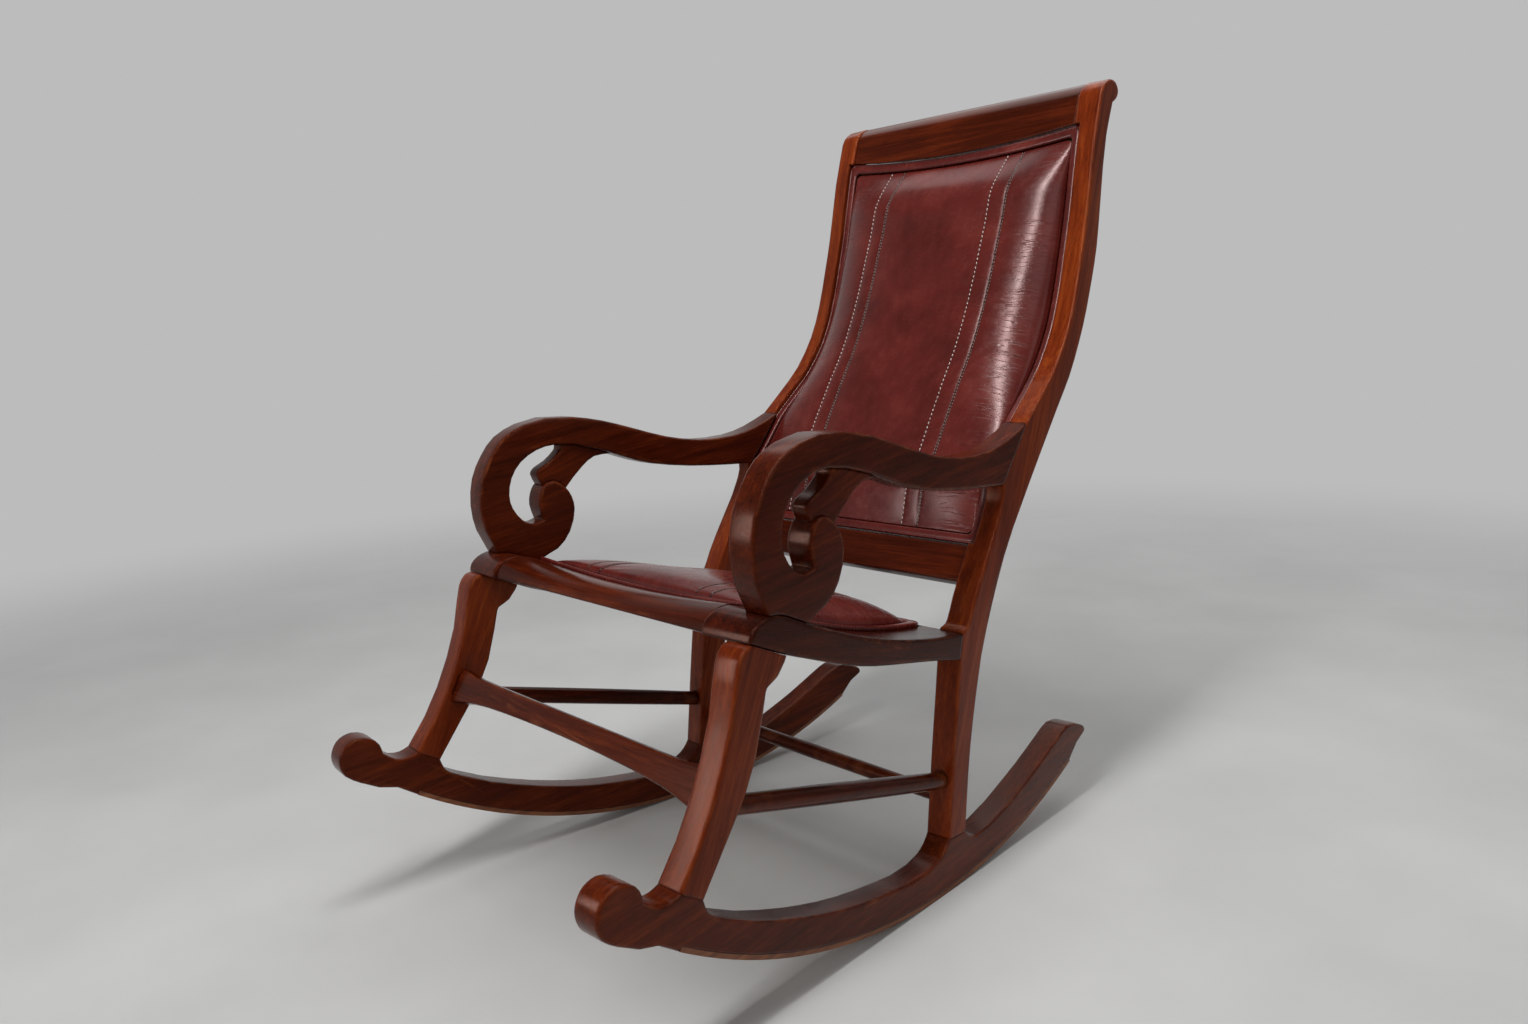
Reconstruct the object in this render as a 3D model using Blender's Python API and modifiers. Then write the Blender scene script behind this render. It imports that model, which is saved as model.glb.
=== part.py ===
# Scroll-arm rocking chair in dark lacquered mahogany with leather-padded seat and back.
# Metres, +Z up.  The sitter faces -Y, X = 0 is the plane of symmetry and the sitter's left is +X.
# Profiles are drawn as (y, z) in the plane of a side frame, before the chair settles on its rockers.
import math

import bmesh
import bpy
from mathutils import Matrix, Vector

# overall
FRONT_WIDTH = 0.591                 # across the two side frames at the front legs
LEG_LINE_Y = -0.35                  # where FRONT_WIDTH is measured
TOE_IN = math.radians(3.55)         # each side frame turns in towards the back
STOCK = 0.036                       # thickness of the side-frame timber
EDGE = 0.0035                       # rounding on the long edges
GAP = 0.0003                        # glue line between touching pieces
FACET_TURN = math.radians(15)       # largest turn between neighbouring facets of a curve
FACET_LONG = 0.045                  # longest facet of a curve

# rockers
ROCK_RADIUS = 0.80                  # radius of the running edge
ROCK_Y = 0.045                      # the arc's centre lies above this point
REST_LEAN = math.radians(4.55)      # how far the empty chair leans back from the drawn pose
TREAD = 0.0055                      # thickness of the wear strip let into the running edge
TREAD_FRONT_Y = -0.352
TREAD_BACK_Y = 0.430
TREAD_FACET = 0.024                 # length of one facet of the running edge, and of the flat it rests on

# seat
SEAT_LOW = Vector((0.158, 0.3415))  # lowest point of the dished seat line
SEAT_DISH = 0.59                    # z rises by this times the squared distance from SEAT_LOW
RAIL_WIDTH = 0.074                  # side rail, outer face to inner edge
RAIL_SHOW = 0.062                   # the part of it left beside the pad
LEDGE = 0.014                       # depth of the ledge that carries the seat panel
SEAT_FRONT_Y = -0.186               # front edge of the pad well
SEAT_BACK_Y = 0.126                 # back edge of the pad well
SEAT_END_Y = 0.1335                 # back face of the rear rail
PANEL = 0.010                       # seat panel thickness
FRONT_DIP = 0.009                   # the front of the seat dips this far in its middle
DIP_LONG = 0.100                    # and levels out over this length towards the back

# upholstery
BAND = 0.014                        # width of the flat welt round each pad
PAD_CLEAR = 0.0006                  # room between a pad and the timber round it
PAD_CORNER = 0.010                  # corner radius of a pad
WELT_CORNER = 0.007                 # and of the welt's opening, tighter so that the pad clears it
SEAMS = (0.099, 0.126)              # distance of the two stitched seams from the middle, each side
SEAM_HALF = 0.0035                  # half width of the furrow along a seam
SEAM_DEEP = 0.0022
SEAT_LIP = 0.004                    # height of the seat pad's edge above the rails
SEAT_CROWN = 0.034                  # how far the middle of the seat pad rises above its edge
SEAT_FULLER = 0.2                   # it rises more at the back, and less in front, by this share
SEAT_POWER = 4                      # how square the pad's crown is across
BACK_POWER = 3.2
BACK_ROUND = (0.060, 0.080)         # length of the fall towards the back pad's lower and upper end
SEAT_FILL = 0.028                   # how far the filling rises in the middle of the seat
BACK_FILL = 0.002                   # and of the back, which has only a layer of wadding
SEAT_ROWS = 10                      # rows of the seat's shared grid
BACK_ROWS = 15                      # rows of the back's shared grid
SKIN = 0.0018                       # leather and cotton over the hollow for the filling
FOAM_IN = 0.006                     # the foam stops this far inside the pad's edge
FOAM_ROOM = 0.0012                  # the hollow is this much larger than the foam in it

# back
BACK_SHOW = 0.0255                  # the part of each post's front left beside the back panel
BACK_SET = -0.003                   # front of the back welt behind the posts' front edge
BACK_BED = -0.013                   # where the pad lies on its webbing
WEBBING = 0.002
LINING = 0.0012
CREST_DROP = 0.013                  # the crest is deeper in the middle by this much
CREST_BACK = 0.009                  # its back is this far in front of the posts' backs
RAIL_LOW_S = (0.400, 0.4455)        # heights of the lower back rail's edges on the posts
CREST_LOW_Z = 1.021
LOW_RAIL_THICK = 0.022

# stretchers and joints
ROD_RADIUS = 0.0118
ROD_TENON_RADIUS = 0.008
ROD_TENON = 0.018
REAR_ROD_RADIUS = 0.0105
REAR_ROD_TENON_RADIUS = 0.0065
REAR_ROD_AT = Vector((0.1365, 0.118))
BOARD_THICK = 0.018
TONGUE = 0.018                      # length of the lower back rail's tongues
BOARD_TONGUE = 0.009                # the front stretcher's stop short of the side stretcher's tenon
DOWEL_RADIUS = 0.004
DOWEL_LONG = 0.032
DOWEL_SIDES = 8

# key points of the side-frame profiles
KNOB = [(-0.3955, 0.1715), (-0.4000, 0.1845), (-0.4110, 0.1945), (-0.4270, 0.1985), (-0.4425, 0.1930),
        (-0.4510, 0.1805), (-0.4525, 0.1660), (-0.4450, 0.1510), (-0.4265, 0.1385), (-0.4020, 0.1265)]
COVE = [(-0.3505, 0.1640), (-0.3630, 0.1593), (-0.3790, 0.1607), (-0.3955, 0.1715)]
LEG_SEAT = [(-0.3185, 0.1465), (-0.3505, 0.1640)]
ROCKER_TOP = [(0.1145, 0.0745), (0.1060, 0.0625), (0.0920, 0.0525), (0.0700, 0.0460), (0.0350, 0.0430),
              (-0.0730, 0.0530), (-0.1660, 0.0730), (-0.2450, 0.0980), (-0.2860, 0.1160), (-0.3030, 0.1245),
              (-0.3130, 0.1335), (-0.3185, 0.1465)]
TAIL = [(0.4520, 0.1215), (0.4720, 0.1320), (0.4745, 0.1385), (0.4680, 0.1450), (0.4450, 0.1530),
        (0.4240, 0.1545), (0.4050, 0.1500), (0.3350, 0.1140), (0.2510, 0.0780), (0.2110, 0.0655),
        (0.1800, 0.0610), (0.1640, 0.0645), (0.1535, 0.0745)]
LEG_FRONT = [(-0.3265, 0.2005), (-0.3075, 0.2385), (-0.2925, 0.2775), (-0.2810, 0.3175), (-0.2755, 0.3545),
             (-0.2715, 0.3760), (-0.2635, 0.3895), (-0.2535, 0.3938)]
LEG_BACK = [(-0.1985, 0.3732), (-0.2015, 0.3665), (-0.2115, 0.3535), (-0.2235, 0.3465), (-0.2295, 0.3405),
            (-0.2345, 0.3150), (-0.2445, 0.2730), (-0.2595, 0.2385), (-0.2895, 0.1915)]
POST_SHIN = [(0.1145, 0.0745), (0.1205, 0.1900), (0.1258, 0.2700), (0.1275, 0.3000)]
POST_RAIL = [(0.1275, 0.3000), (0.1340, 0.3450)]
POST_WAIST = [(0.1340, 0.3450), (0.1470, 0.3520), (0.1590, 0.3810), (0.1725, 0.4090), (0.1885, 0.4390),
              (0.2060, 0.4720), (0.2170, 0.4985), (0.2205, 0.5120), (0.2195, 0.5245)]
POST_ARM = [(0.2195, 0.5245), (0.2735, 0.6045)]
POST_BACKREST = [(0.2735, 0.6045), (0.3085, 0.6395), (0.3460, 0.6800), (0.3765, 0.7315), (0.3940, 0.7830),
                 (0.4070, 0.8440), (0.4170, 0.8970), (0.4300, CREST_LOW_Z - 0.0310), (0.4365, CREST_LOW_Z)]
ROLL = [(0.4365, CREST_LOW_Z), (0.4445, CREST_LOW_Z + 0.0370), (0.4550, CREST_LOW_Z + 0.0530),
        (0.4720, CREST_LOW_Z + 0.0615), (0.4870, CREST_LOW_Z + 0.0605), (0.4960, CREST_LOW_Z + 0.0520),
        (0.4955, CREST_LOW_Z + 0.0425), (0.4880, CREST_LOW_Z + 0.0345), (0.4815, CREST_LOW_Z + 0.0310)]
ROLL_BACK = [ROLL[-1], (0.4780, CREST_LOW_Z + 0.0200), (0.4715, CREST_LOW_Z)]
POST_REAR = [(0.4715, CREST_LOW_Z), (0.4670, CREST_LOW_Z - 0.0160), (0.4610, CREST_LOW_Z - 0.0580),
             (0.4565, 0.9010), (0.4515, 0.8480), (0.4410, 0.8020), (0.4290, 0.7600), (0.4110, 0.7140),
             (0.3860, 0.6650), (0.3540, 0.6200), (0.2740, 0.5030), (0.2290, 0.4300),
             (0.1900, 0.3360), (0.1740, 0.2750), (0.1595, 0.1810),
             (0.1535, 0.0745)]
# how far the middle of the back pad rises, by height on the posts: the leather bridges their hollow
BACK_CROWN = [(0.445, 0.0110), (0.500, 0.0120), (0.545, 0.0070), (0.603, 0.0155), (0.644, 0.0335),
              (0.675, 0.0440), (0.725, 0.0520), (0.778, 0.0525), (0.859, 0.0455), (0.910, 0.0405),
              (CREST_LOW_Z, 0.0350)]
ARM_TOP = [(0.2735, 0.6045), (0.2285, 0.5835), (0.1820, 0.5705), (0.1170, 0.5660), (0.0540, 0.5730),
           (-0.0030, 0.5865), (-0.0570, 0.5990), (-0.1080, 0.6055), (-0.1500, 0.6045), (-0.1830, 0.5960),
           (-0.2150, 0.5785), (-0.2345, 0.5535), (-0.2485, 0.5220), (-0.2515, 0.4850), (-0.2440, 0.4505),
           (-0.2270, 0.4205)]
ARM_FOOT = (-0.2270, -0.1640)       # the arm stands on the side rail between these
ARM_VOLUTE = [(-0.1640, 0.4065), (-0.1340, 0.4175), (-0.1135, 0.4415), (-0.1055, 0.4740), (-0.1145, 0.4995),
              (-0.1345, 0.5145), (-0.1520, 0.5115), (-0.1605, 0.4975), (-0.1622, 0.4800), (-0.1555, 0.4610)]
ARM_LOOP = [(-0.1555, 0.4610), (-0.1710, 0.4565), (-0.1885, 0.4635), (-0.2025, 0.4805), (-0.2075, 0.4990),
            (-0.2035, 0.5225), (-0.1895, 0.5435), (-0.1650, 0.5595), (-0.1360, 0.5665), (-0.1020, 0.5645),
            (-0.0610, 0.5565), (-0.0180, 0.5435), (0.0270, 0.5325), (0.1000, 0.5255), (0.1780, 0.5240),
            (0.2195, 0.5245)]
BRACE_FRONT = [(-0.1240, 0.5680), (-0.1260, 0.5570), (-0.1420, 0.5425), (-0.1570, 0.5340), (-0.1630, 0.5240),
               (-0.1600, 0.5140)]
BRACE_BACK = [(-0.1155, 0.5040), (-0.1040, 0.5180), (-0.0890, 0.5330), (-0.0690, 0.5470), (-0.0400, 0.5540)]
BRACE_THICK = 0.024
RAIL_NOSE = [(-0.2545, 0.3945), (-0.2525, 0.4040), (-0.2440, 0.4130), (-0.2300, 0.4190), (-0.2140, 0.4198),
             (-0.2000, 0.4165)]
RAIL_UNDER = [(0.1270, 0.3075), (0.0800, 0.3155), (0.0190, 0.3235), (-0.0470, 0.3325), (-0.0970, 0.3435),
              (-0.1550, 0.3605), (-0.1980, 0.3735)]
ROD_FROM = Vector((-0.2700, 0.2256))
ROD_TO = Vector((0.1182, 0.1477))
BOARD_AT = Vector((-0.2925, 0.2445))    # middle of the front stretcher's end, on the leg
BOARD_RISE = Vector((0.41, 0.912)).normalized()
BOARD_END = 0.0235                      # half height at the legs
BOARD_FLARE = 0.085                     # length over which the ends widen
BOARD_MID_TOP = 0.0195
BOARD_MID_LOW = -0.0085

for leftover in list(bpy.data.objects):
    bpy.data.objects.remove(leftover, do_unlink=True)

parts = bpy.data.collections.new("rocking_chair")
cutters = bpy.data.collections.new("cutters")
bpy.context.scene.collection.children.link(parts)
bpy.context.scene.collection.children.link(cutters)


def material(name, colour, roughness):
    mat = bpy.data.materials.new(name)
    mat.use_nodes = True
    shader = mat.node_tree.nodes["Principled BSDF"]
    shader.inputs["Base Color"].default_value = (*colour, 1)
    shader.inputs["Roughness"].default_value = roughness
    shader.inputs["Metallic"].default_value = 0
    return mat


mahogany = material("mahogany", (0.075, 0.020, 0.010), 0.22)
strip_wood = material("strip_wood", (0.200, 0.075, 0.028), 0.40)
leather = material("leather", (0.155, 0.030, 0.027), 0.34)
plywood = material("plywood", (0.420, 0.270, 0.140), 0.65)
beech = material("beech", (0.520, 0.340, 0.180), 0.60)
foam = material("foam", (0.700, 0.620, 0.400), 0.90)
webbing = material("webbing", (0.230, 0.170, 0.100), 0.90)
lining = material("lining", (0.030, 0.012, 0.010), 0.85)


def empty(name, parent=None, location=(0, 0, 0)):
    obj = bpy.data.objects.new(name, None)
    parts.objects.link(obj)
    obj.parent = parent
    obj.location = location
    return obj


def add(name, mesh, mat, parent, location=(0, 0, 0)):
    obj = bpy.data.objects.new(name, mesh)
    if not mesh.materials:
        mesh.materials.append(mat)
    parts.objects.link(obj)
    obj.parent = parent
    obj.location = location
    return obj


def cutter(name, mesh, parent, location=(0, 0, 0)):
    obj = bpy.data.objects.new(name, mesh)
    cutters.objects.link(obj)
    obj.parent = parent
    obj.location = location
    obj.hide_render = True
    obj.display_type = "WIRE"
    return obj


def cut(obj, tool):
    modifier = obj.modifiers.new(tool.name, "BOOLEAN")
    modifier.operation = "DIFFERENCE"
    modifier.solver = "EXACT"
    modifier.object = tool


def finish(bm, name):
    bmesh.ops.recalc_face_normals(bm, faces=bm.faces)
    mesh = bpy.data.meshes.new(name)
    bm.to_mesh(mesh)
    bm.free()
    mesh.shade_smooth()
    mesh.set_sharp_from_angle(angle=math.radians(32))
    return mesh


def curve_point(p0, p1, p2, p3, t):
    # Catmull-Rom spline between p1 and p2
    a = 2 * p1
    b = p2 - p0
    c = 2 * p0 - 5 * p1 + 4 * p2 - p3
    d = 3 * (p1 - p2) + p3 - p0
    return 0.5 * (a + b * t + c * t * t + d * t * t * t)


def smooth(keys):
    # a smooth run through the key points, with as many facets as its turning needs
    keys = [Vector(k) for k in keys]
    run = [keys[0]]
    ends = [2 * keys[0] - keys[1]] + keys + [2 * keys[-1] - keys[-2]]
    for p0, p1, p2, p3 in zip(ends, ends[1:], ends[2:], ends[3:]):
        start = curve_point(p0, p1, p2, p3, 0.02) - p1
        middle = curve_point(p0, p1, p2, p3, 0.51) - curve_point(p0, p1, p2, p3, 0.49)
        end = p2 - curve_point(p0, p1, p2, p3, 0.98)
        turn = start.angle(middle) + middle.angle(end)
        count = max(math.ceil(turn / FACET_TURN), math.ceil((p2 - p1).length / FACET_LONG), 1)
        run += [curve_point(p0, p1, p2, p3, i / count) for i in range(1, count + 1)]
    return run


def loop_of(*runs):
    # joins runs end to end, leaving out repeated points
    points = []
    for run in runs:
        for point in run:
            point = Vector(point)
            if not points or (point - points[-1]).length > 1e-4:
                points.append(point)
    if (points[0] - points[-1]).length < 1e-4:
        points.pop()
    return points


def shifted(points, distance):
    # moves a straight pair of points sideways, to its left
    a, b = Vector(points[0]), Vector(points[-1])
    along = (b - a).normalized()
    side = Vector((-along.y, along.x)) * distance
    return [Vector(p) + side for p in points]


def on_line(point, ends):
    a, b = Vector(ends[0]), Vector(ends[-1])
    along = (b - a).normalized()
    offset = point - a
    away = abs(offset.x * along.y - offset.y * along.x)
    reach = offset.dot(along)
    return away < 4e-4 and -4e-4 < reach < (b - a).length + 4e-4


def flat(name, loop, thick, place, edge=EDGE, square=None):
    # a flat outline with its long edges rounded; square(p, q) tells which rim edges stay sharp
    curve = bpy.data.curves.new(name, "CURVE")
    curve.dimensions = "2D"
    curve.fill_mode = "BOTH"
    curve.extrude = thick / 2
    spline = curve.splines.new("POLY")
    spline.points.add(len(loop) - 1)
    spline.use_cyclic_u = True
    for point, key in zip(spline.points, loop):
        point.co = (key[0], key[1], 0, 1)
    holder = bpy.data.objects.new(name, curve)
    bpy.context.scene.collection.objects.link(holder)
    graph = bpy.context.evaluated_depsgraph_get()
    raw = bpy.data.meshes.new_from_object(holder.evaluated_get(graph))
    bpy.data.objects.remove(holder, do_unlink=True)
    bm = bmesh.new()
    bm.from_mesh(raw)
    bpy.data.meshes.remove(raw)
    bmesh.ops.remove_doubles(bm, verts=bm.verts, dist=1e-5)
    bmesh.ops.dissolve_limit(bm, angle_limit=0.003, verts=bm.verts, edges=bm.edges,
                             use_dissolve_boundaries=False)
    bmesh.ops.recalc_face_normals(bm, faces=bm.faces)
    if edge:
        rims = []
        for e in bm.edges:
            a, b = e.verts[0].co, e.verts[1].co
            if abs(a.z - b.z) > 1e-6:
                continue
            if square and square(a.xy, b.xy):
                continue
            rims.append(e)
        bmesh.ops.bevel(bm, geom=rims, offset=edge, segments=2, profile=0.5, affect="EDGES",
                        clamp_overlap=True)
    bmesh.ops.transform(bm, matrix=place, verts=bm.verts)
    return finish(bm, name)


def loft(name, sections, ends="flat"):
    # a skin over matching loops of points; its ends are closed flat, or joined up into a ring, or
    # laced shut where the first "ends" points of a loop are its upper edge and the rest its lower
    bm = bmesh.new()
    rings = [[bm.verts.new(p) for p in section] for section in sections]
    pairs = list(zip(rings, rings[1:]))
    if ends == "ring":
        pairs.append((rings[-1], rings[0]))
    for one, two in pairs:
        for i in range(len(one)):
            j = (i + 1) % len(one)
            bm.faces.new((one[i], one[j], two[j], two[i]))
    for ring in (rings[0], rings[-1]):
        if ends == "flat":
            bm.faces.new(ring)
        elif ends != "ring":
            upper, lower = ring[:ends], ring[ends:][::-1]
            i = 0
            j = 0
            while i + 1 < len(upper) or j + 1 < len(lower):
                more = i + 1 < len(upper)
                if more and (j + 1 == len(lower) or upper[i + 1].co.x < lower[j + 1].co.x):
                    bm.faces.new((upper[i], upper[i + 1], lower[j]))
                    i += 1
                else:
                    bm.faces.new((upper[i], lower[j + 1], lower[j]))
                    j += 1
    bmesh.ops.triangulate(bm, faces=[f for f in bm.faces if len(f.verts) == 4])
    return finish(bm, name)


def rod(name, radius, length, sides):
    bm = bmesh.new()
    bmesh.ops.create_cone(bm, cap_ends=True, segments=sides, radius1=radius, radius2=radius, depth=length)
    return finish(bm, name)


def block(name, size):
    bm = bmesh.new()
    bmesh.ops.create_cube(bm, size=1)
    bmesh.ops.scale(bm, vec=size, verts=bm.verts)
    return finish(bm, name)


def turned(name, profile, steps, parent, mat):
    # a turned rod: profile is (radius, z) from the top down its outer side
    mesh = bpy.data.meshes.new(name)
    edges = [(i, i + 1) for i in range(len(profile) - 1)]
    mesh.from_pydata([(r, 0, z) for r, z in profile], edges, [])
    obj = add(name, mesh, mat, parent)
    screw = obj.modifiers.new("turn", "SCREW")
    screw.steps = steps
    screw.render_steps = steps
    screw.use_merge_vertices = True
    screw.merge_threshold = 0.0001
    screw.use_smooth_shade = True
    return obj


SIDE_PLANE = Matrix(((0, 0, 1, 0), (1, 0, 0, 0), (0, 1, 0, 0), (0, 0, 0, 1)))


def half_width(y):
    # outer face of a side frame
    return FRONT_WIDTH / 2 - math.tan(TOE_IN) * (y - LEG_LINE_Y)


def inside(y, depth):
    # the plane that lies a given depth inside the outer face
    return half_width(y) - depth / math.cos(TOE_IN)


def seat_z(y):
    return SEAT_LOW.y + SEAT_DISH * (y - SEAT_LOW.x) ** 2


def front_dip(x, y):
    # how far the seat lies below the line of its rails
    across = max(1 - (x / inside(y, RAIL_WIDTH)) ** 2, 0)
    along = min(max(1 - (y - SEAT_FRONT_Y) / DIP_LONG, 0), 1)
    return FRONT_DIP * across * along ** 2


def arc_z(y, radius=ROCK_RADIUS):
    return ROCK_RADIUS - math.sqrt(radius ** 2 - (y - ROCK_Y) ** 2)


def arc_run(radius, from_y, to_y):
    # facets of the running edge; one of them is level when the chair has settled
    step = 2 * math.asin(TREAD_FACET / 2 / ROCK_RADIUS)
    first = math.asin((from_y - ROCK_Y) / ROCK_RADIUS)
    last = math.asin((to_y - ROCK_Y) / ROCK_RADIUS)
    turns = [first]
    turns += [REST_LEAN + (i + 0.5) * step for i in range(-40, 40)]
    turns = [t for t in turns if first - 1e-9 <= t < last - step / 4] + [last]
    return [Vector((ROCK_Y + radius * math.sin(t), ROCK_RADIUS - radius * math.cos(t))) for t in turns]


chair = empty("chair_frame", None, (0, ROCK_Y, ROCK_RADIUS))
chair.rotation_euler = (-REST_LEAN, 0, 0)
body = empty("body", chair, (0, -ROCK_Y, -ROCK_RADIUS))
sides = {}
for label, sign in (("left", 1), ("right", -1)):
    sides[label] = empty("side_" + label, body, (sign * FRONT_WIDTH / 2, LEG_LINE_Y, 0))
    sides[label].rotation_euler = (0, 0, sign * TOE_IN)


def in_side(label, y, z, inset):
    sign = 1 if label == "left" else -1
    return (-sign * inset, y - LEG_LINE_Y, z)


# outlines of the side-frame pieces
underside = arc_run(ROCK_RADIUS - TREAD - GAP, TREAD_FRONT_Y, TREAD_BACK_Y)
front_step = arc_run(ROCK_RADIUS, TREAD_FRONT_Y, TREAD_BACK_Y)[0] + Vector((-GAP, 0))
back_step = arc_run(ROCK_RADIUS, TREAD_FRONT_Y, TREAD_BACK_Y)[-1] + Vector((GAP, 0))
underside[0] += Vector((-GAP, 0))
underside[-1] += Vector((GAP, 0))
rocker_loop = loop_of(underside, [back_step], smooth(TAIL), smooth(ROCKER_TOP), smooth(COVE),
                      smooth(KNOB), [(-0.3780, arc_z(-0.3780)), front_step])
post_foot = [TAIL[-1], ROCKER_TOP[0]]
tread_loop = loop_of(arc_run(ROCK_RADIUS, TREAD_FRONT_Y, TREAD_BACK_Y),
                     reversed(arc_run(ROCK_RADIUS - TREAD, TREAD_FRONT_Y, TREAD_BACK_Y)))
leg_foot = shifted(LEG_SEAT, -GAP)
leg_head = shifted([LEG_BACK[0], LEG_FRONT[-1]], 0)
leg_loop = loop_of(smooth([leg_foot[1]] + LEG_FRONT), smooth(LEG_BACK + [leg_foot[0]]))
lift = Vector((0, GAP))
post_loop = loop_of([Vector(POST_SHIN[0]) + lift], smooth(POST_SHIN)[1:], smooth(POST_WAIST),
                    smooth(POST_BACKREST), smooth(ROLL), smooth(ROLL_BACK), smooth(POST_REAR)[:-1],
                    [Vector(POST_REAR[-1]) + lift])
rail_top = smooth(RAIL_NOSE)
dish = [RAIL_NOSE[-1][0] + (SEAT_END_Y - RAIL_NOSE[-1][0]) * i / 12 for i in range(1, 13)]
rail_top += [Vector((y, seat_z(y))) for y in dish]


def on_rail(y):
    # height of the side rail's top at y
    for a, b in zip(rail_top, rail_top[1:]):
        if a.x <= y <= b.x and b.x - a.x > 1e-6:
            return a.y + (b.y - a.y) * (y - a.x) / (b.x - a.x)
    return rail_top[-1].y


foot_ys = sorted({ARM_FOOT[0], ARM_FOOT[1], *[p.x for p in rail_top if ARM_FOOT[0] < p.x < ARM_FOOT[1]]})
arm_foot = [Vector((y, on_rail(y) + GAP)) for y in foot_ys]
arm_end = shifted(POST_ARM, GAP)
arm_top = smooth(ARM_TOP)
arm_top[0] = arm_end[1]
arm_top[-1] = arm_foot[0]
arm_low = smooth(ARM_VOLUTE)
arm_low[0] = arm_foot[-1]
arm_loop_run = smooth(ARM_LOOP)
arm_loop_run[-1] = arm_end[0]
arm_outline = loop_of(arm_top, arm_foot, arm_low, arm_loop_run)


def clear_of(point, run, distance):
    # pushes a point off a run of points so that it keeps a distance on the given side
    best = None
    for a, b in zip(run, run[1:]):
        along = b - a
        t = min(max((point - a).dot(along) / along.length_squared, 0), 1)
        near = a + along * t
        gap = (point - near).length
        if best is None or gap < best[0]:
            best = (gap, near, Vector((along.y, -along.x)).normalized())
    return best[1] + best[2] * distance


brace_ends = [clear_of(Vector(p), arm_loop_run, GAP) for p in (BRACE_FRONT[0], BRACE_BACK[-1])]
brace_feet = [clear_of(Vector(p), arm_low, GAP) for p in (BRACE_FRONT[-1], BRACE_BACK[0])]
brace_top = [p for p in arm_loop_run if brace_ends[0].x + 0.001 < p.x < brace_ends[1].x - 0.001]
brace_foot = [p for p in arm_low if brace_feet[0].x + 0.001 < p.x < brace_feet[1].x - 0.001 and p.y > 0.49]
brace_loop = loop_of(smooth([brace_ends[0]] + BRACE_FRONT[1:-1] + [brace_feet[0]]),
                     [clear_of(p, arm_low, GAP) for p in reversed(brace_foot)],
                     smooth([brace_feet[1]] + BRACE_BACK[1:-1] + [brace_ends[1]]),
                     [clear_of(p, arm_loop_run, GAP) for p in reversed(brace_top)])
rail_end = [Vector((p[0] - GAP, p[1])) for p in POST_RAIL]
slope = (rail_end[1].x - rail_end[0].x) / (rail_end[1].y - rail_end[0].y)
rail_corner = Vector((rail_end[0].x + slope * (RAIL_UNDER[0][1] - rail_end[0].y), RAIL_UNDER[0][1]))
rail_loop = loop_of(rail_top[:-1], [(rail_end[1].x - 0.0004, seat_z(SEAT_END_Y))], [rail_corner],
                    smooth(RAIL_UNDER)[1:])


def keeps(*lines):
    return lambda p, q: any(on_line(p, line) and on_line(q, line) for line in lines)


def under_tread(p, q):
    if on_line(p, LEG_SEAT) and on_line(q, LEG_SEAT):
        return True
    if on_line(p, post_foot) and on_line(q, post_foot):
        return True
    middle = (p + q) / 2
    reach = (middle - Vector((ROCK_Y, ROCK_RADIUS))).length
    return TREAD_FRONT_Y - 0.002 < middle.x < TREAD_BACK_Y + 0.002 and reach > ROCK_RADIUS - TREAD - 0.002


def on_foot(p, q):
    if on_line(p, arm_end) and on_line(q, arm_end):
        return True
    return all(ARM_FOOT[0] - 1e-4 <= v.x <= ARM_FOOT[1] + 1e-4 and v.y < on_rail(v.x) + 0.001 for v in (p, q))


def on_arm(p, q):
    runs = (arm_low, arm_loop_run)
    return any(all((v - clear_of(v, run, 0)).length < 2 * GAP for v in (p, q)) for run in runs)


rocker_mesh = flat("rocker", rocker_loop, STOCK, SIDE_PLANE, EDGE, under_tread)
tread_meshes = {}
for label, sign in (("left", 1), ("right", -1)):
    # the running face is planed a hair out of square, so its resting facet is level in spite of the toe-in
    tread = flat("rocker_tread_" + label, tread_loop, STOCK, SIDE_PLANE, 0)
    for vert in tread.vertices:
        if (vert.co.yz - Vector((ROCK_Y, ROCK_RADIUS))).length > ROCK_RADIUS - TREAD / 2:
            vert.co.z += sign * vert.co.x * math.sin(TOE_IN) * math.tan(REST_LEAN)
    tread_meshes[label] = tread
leg_mesh = flat("front_leg", leg_loop, STOCK, SIDE_PLANE, EDGE, keeps(leg_foot, leg_head))
post_mesh = flat("rear_post", post_loop, STOCK, SIDE_PLANE, EDGE, keeps(
    [Vector(p) + lift for p in post_foot], POST_RAIL, POST_ARM))
arm_mesh = flat("arm", arm_outline, STOCK, SIDE_PLANE, EDGE, on_foot)
brace_mesh = flat("arm_brace", brace_loop, BRACE_THICK, SIDE_PLANE, 0.003, on_arm)
rail_mesh = flat("seat_side_rail", rail_loop, RAIL_WIDTH, SIDE_PLANE, EDGE, keeps(
    [rail_corner, Vector((rail_end[1].x - 0.0004, seat_z(SEAT_END_Y)))]))

frame = {}
for label in sides:
    for name, mesh, mat, inset in (
            ("rocker", rocker_mesh, mahogany, STOCK / 2),
            ("rocker_tread", tread_meshes[label], strip_wood, STOCK / 2),
            ("front_leg", leg_mesh, mahogany, STOCK / 2),
            ("rear_post", post_mesh, mahogany, STOCK / 2),
            ("arm", arm_mesh, mahogany, STOCK / 2),
            ("arm_brace", brace_mesh, mahogany, STOCK / 2),
            ("seat_side_rail", rail_mesh, mahogany, RAIL_WIDTH / 2)):
        key = name + "_" + label
        frame[key] = add(key, mesh, mat, sides[label], in_side(label, 0, 0, inset))

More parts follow.
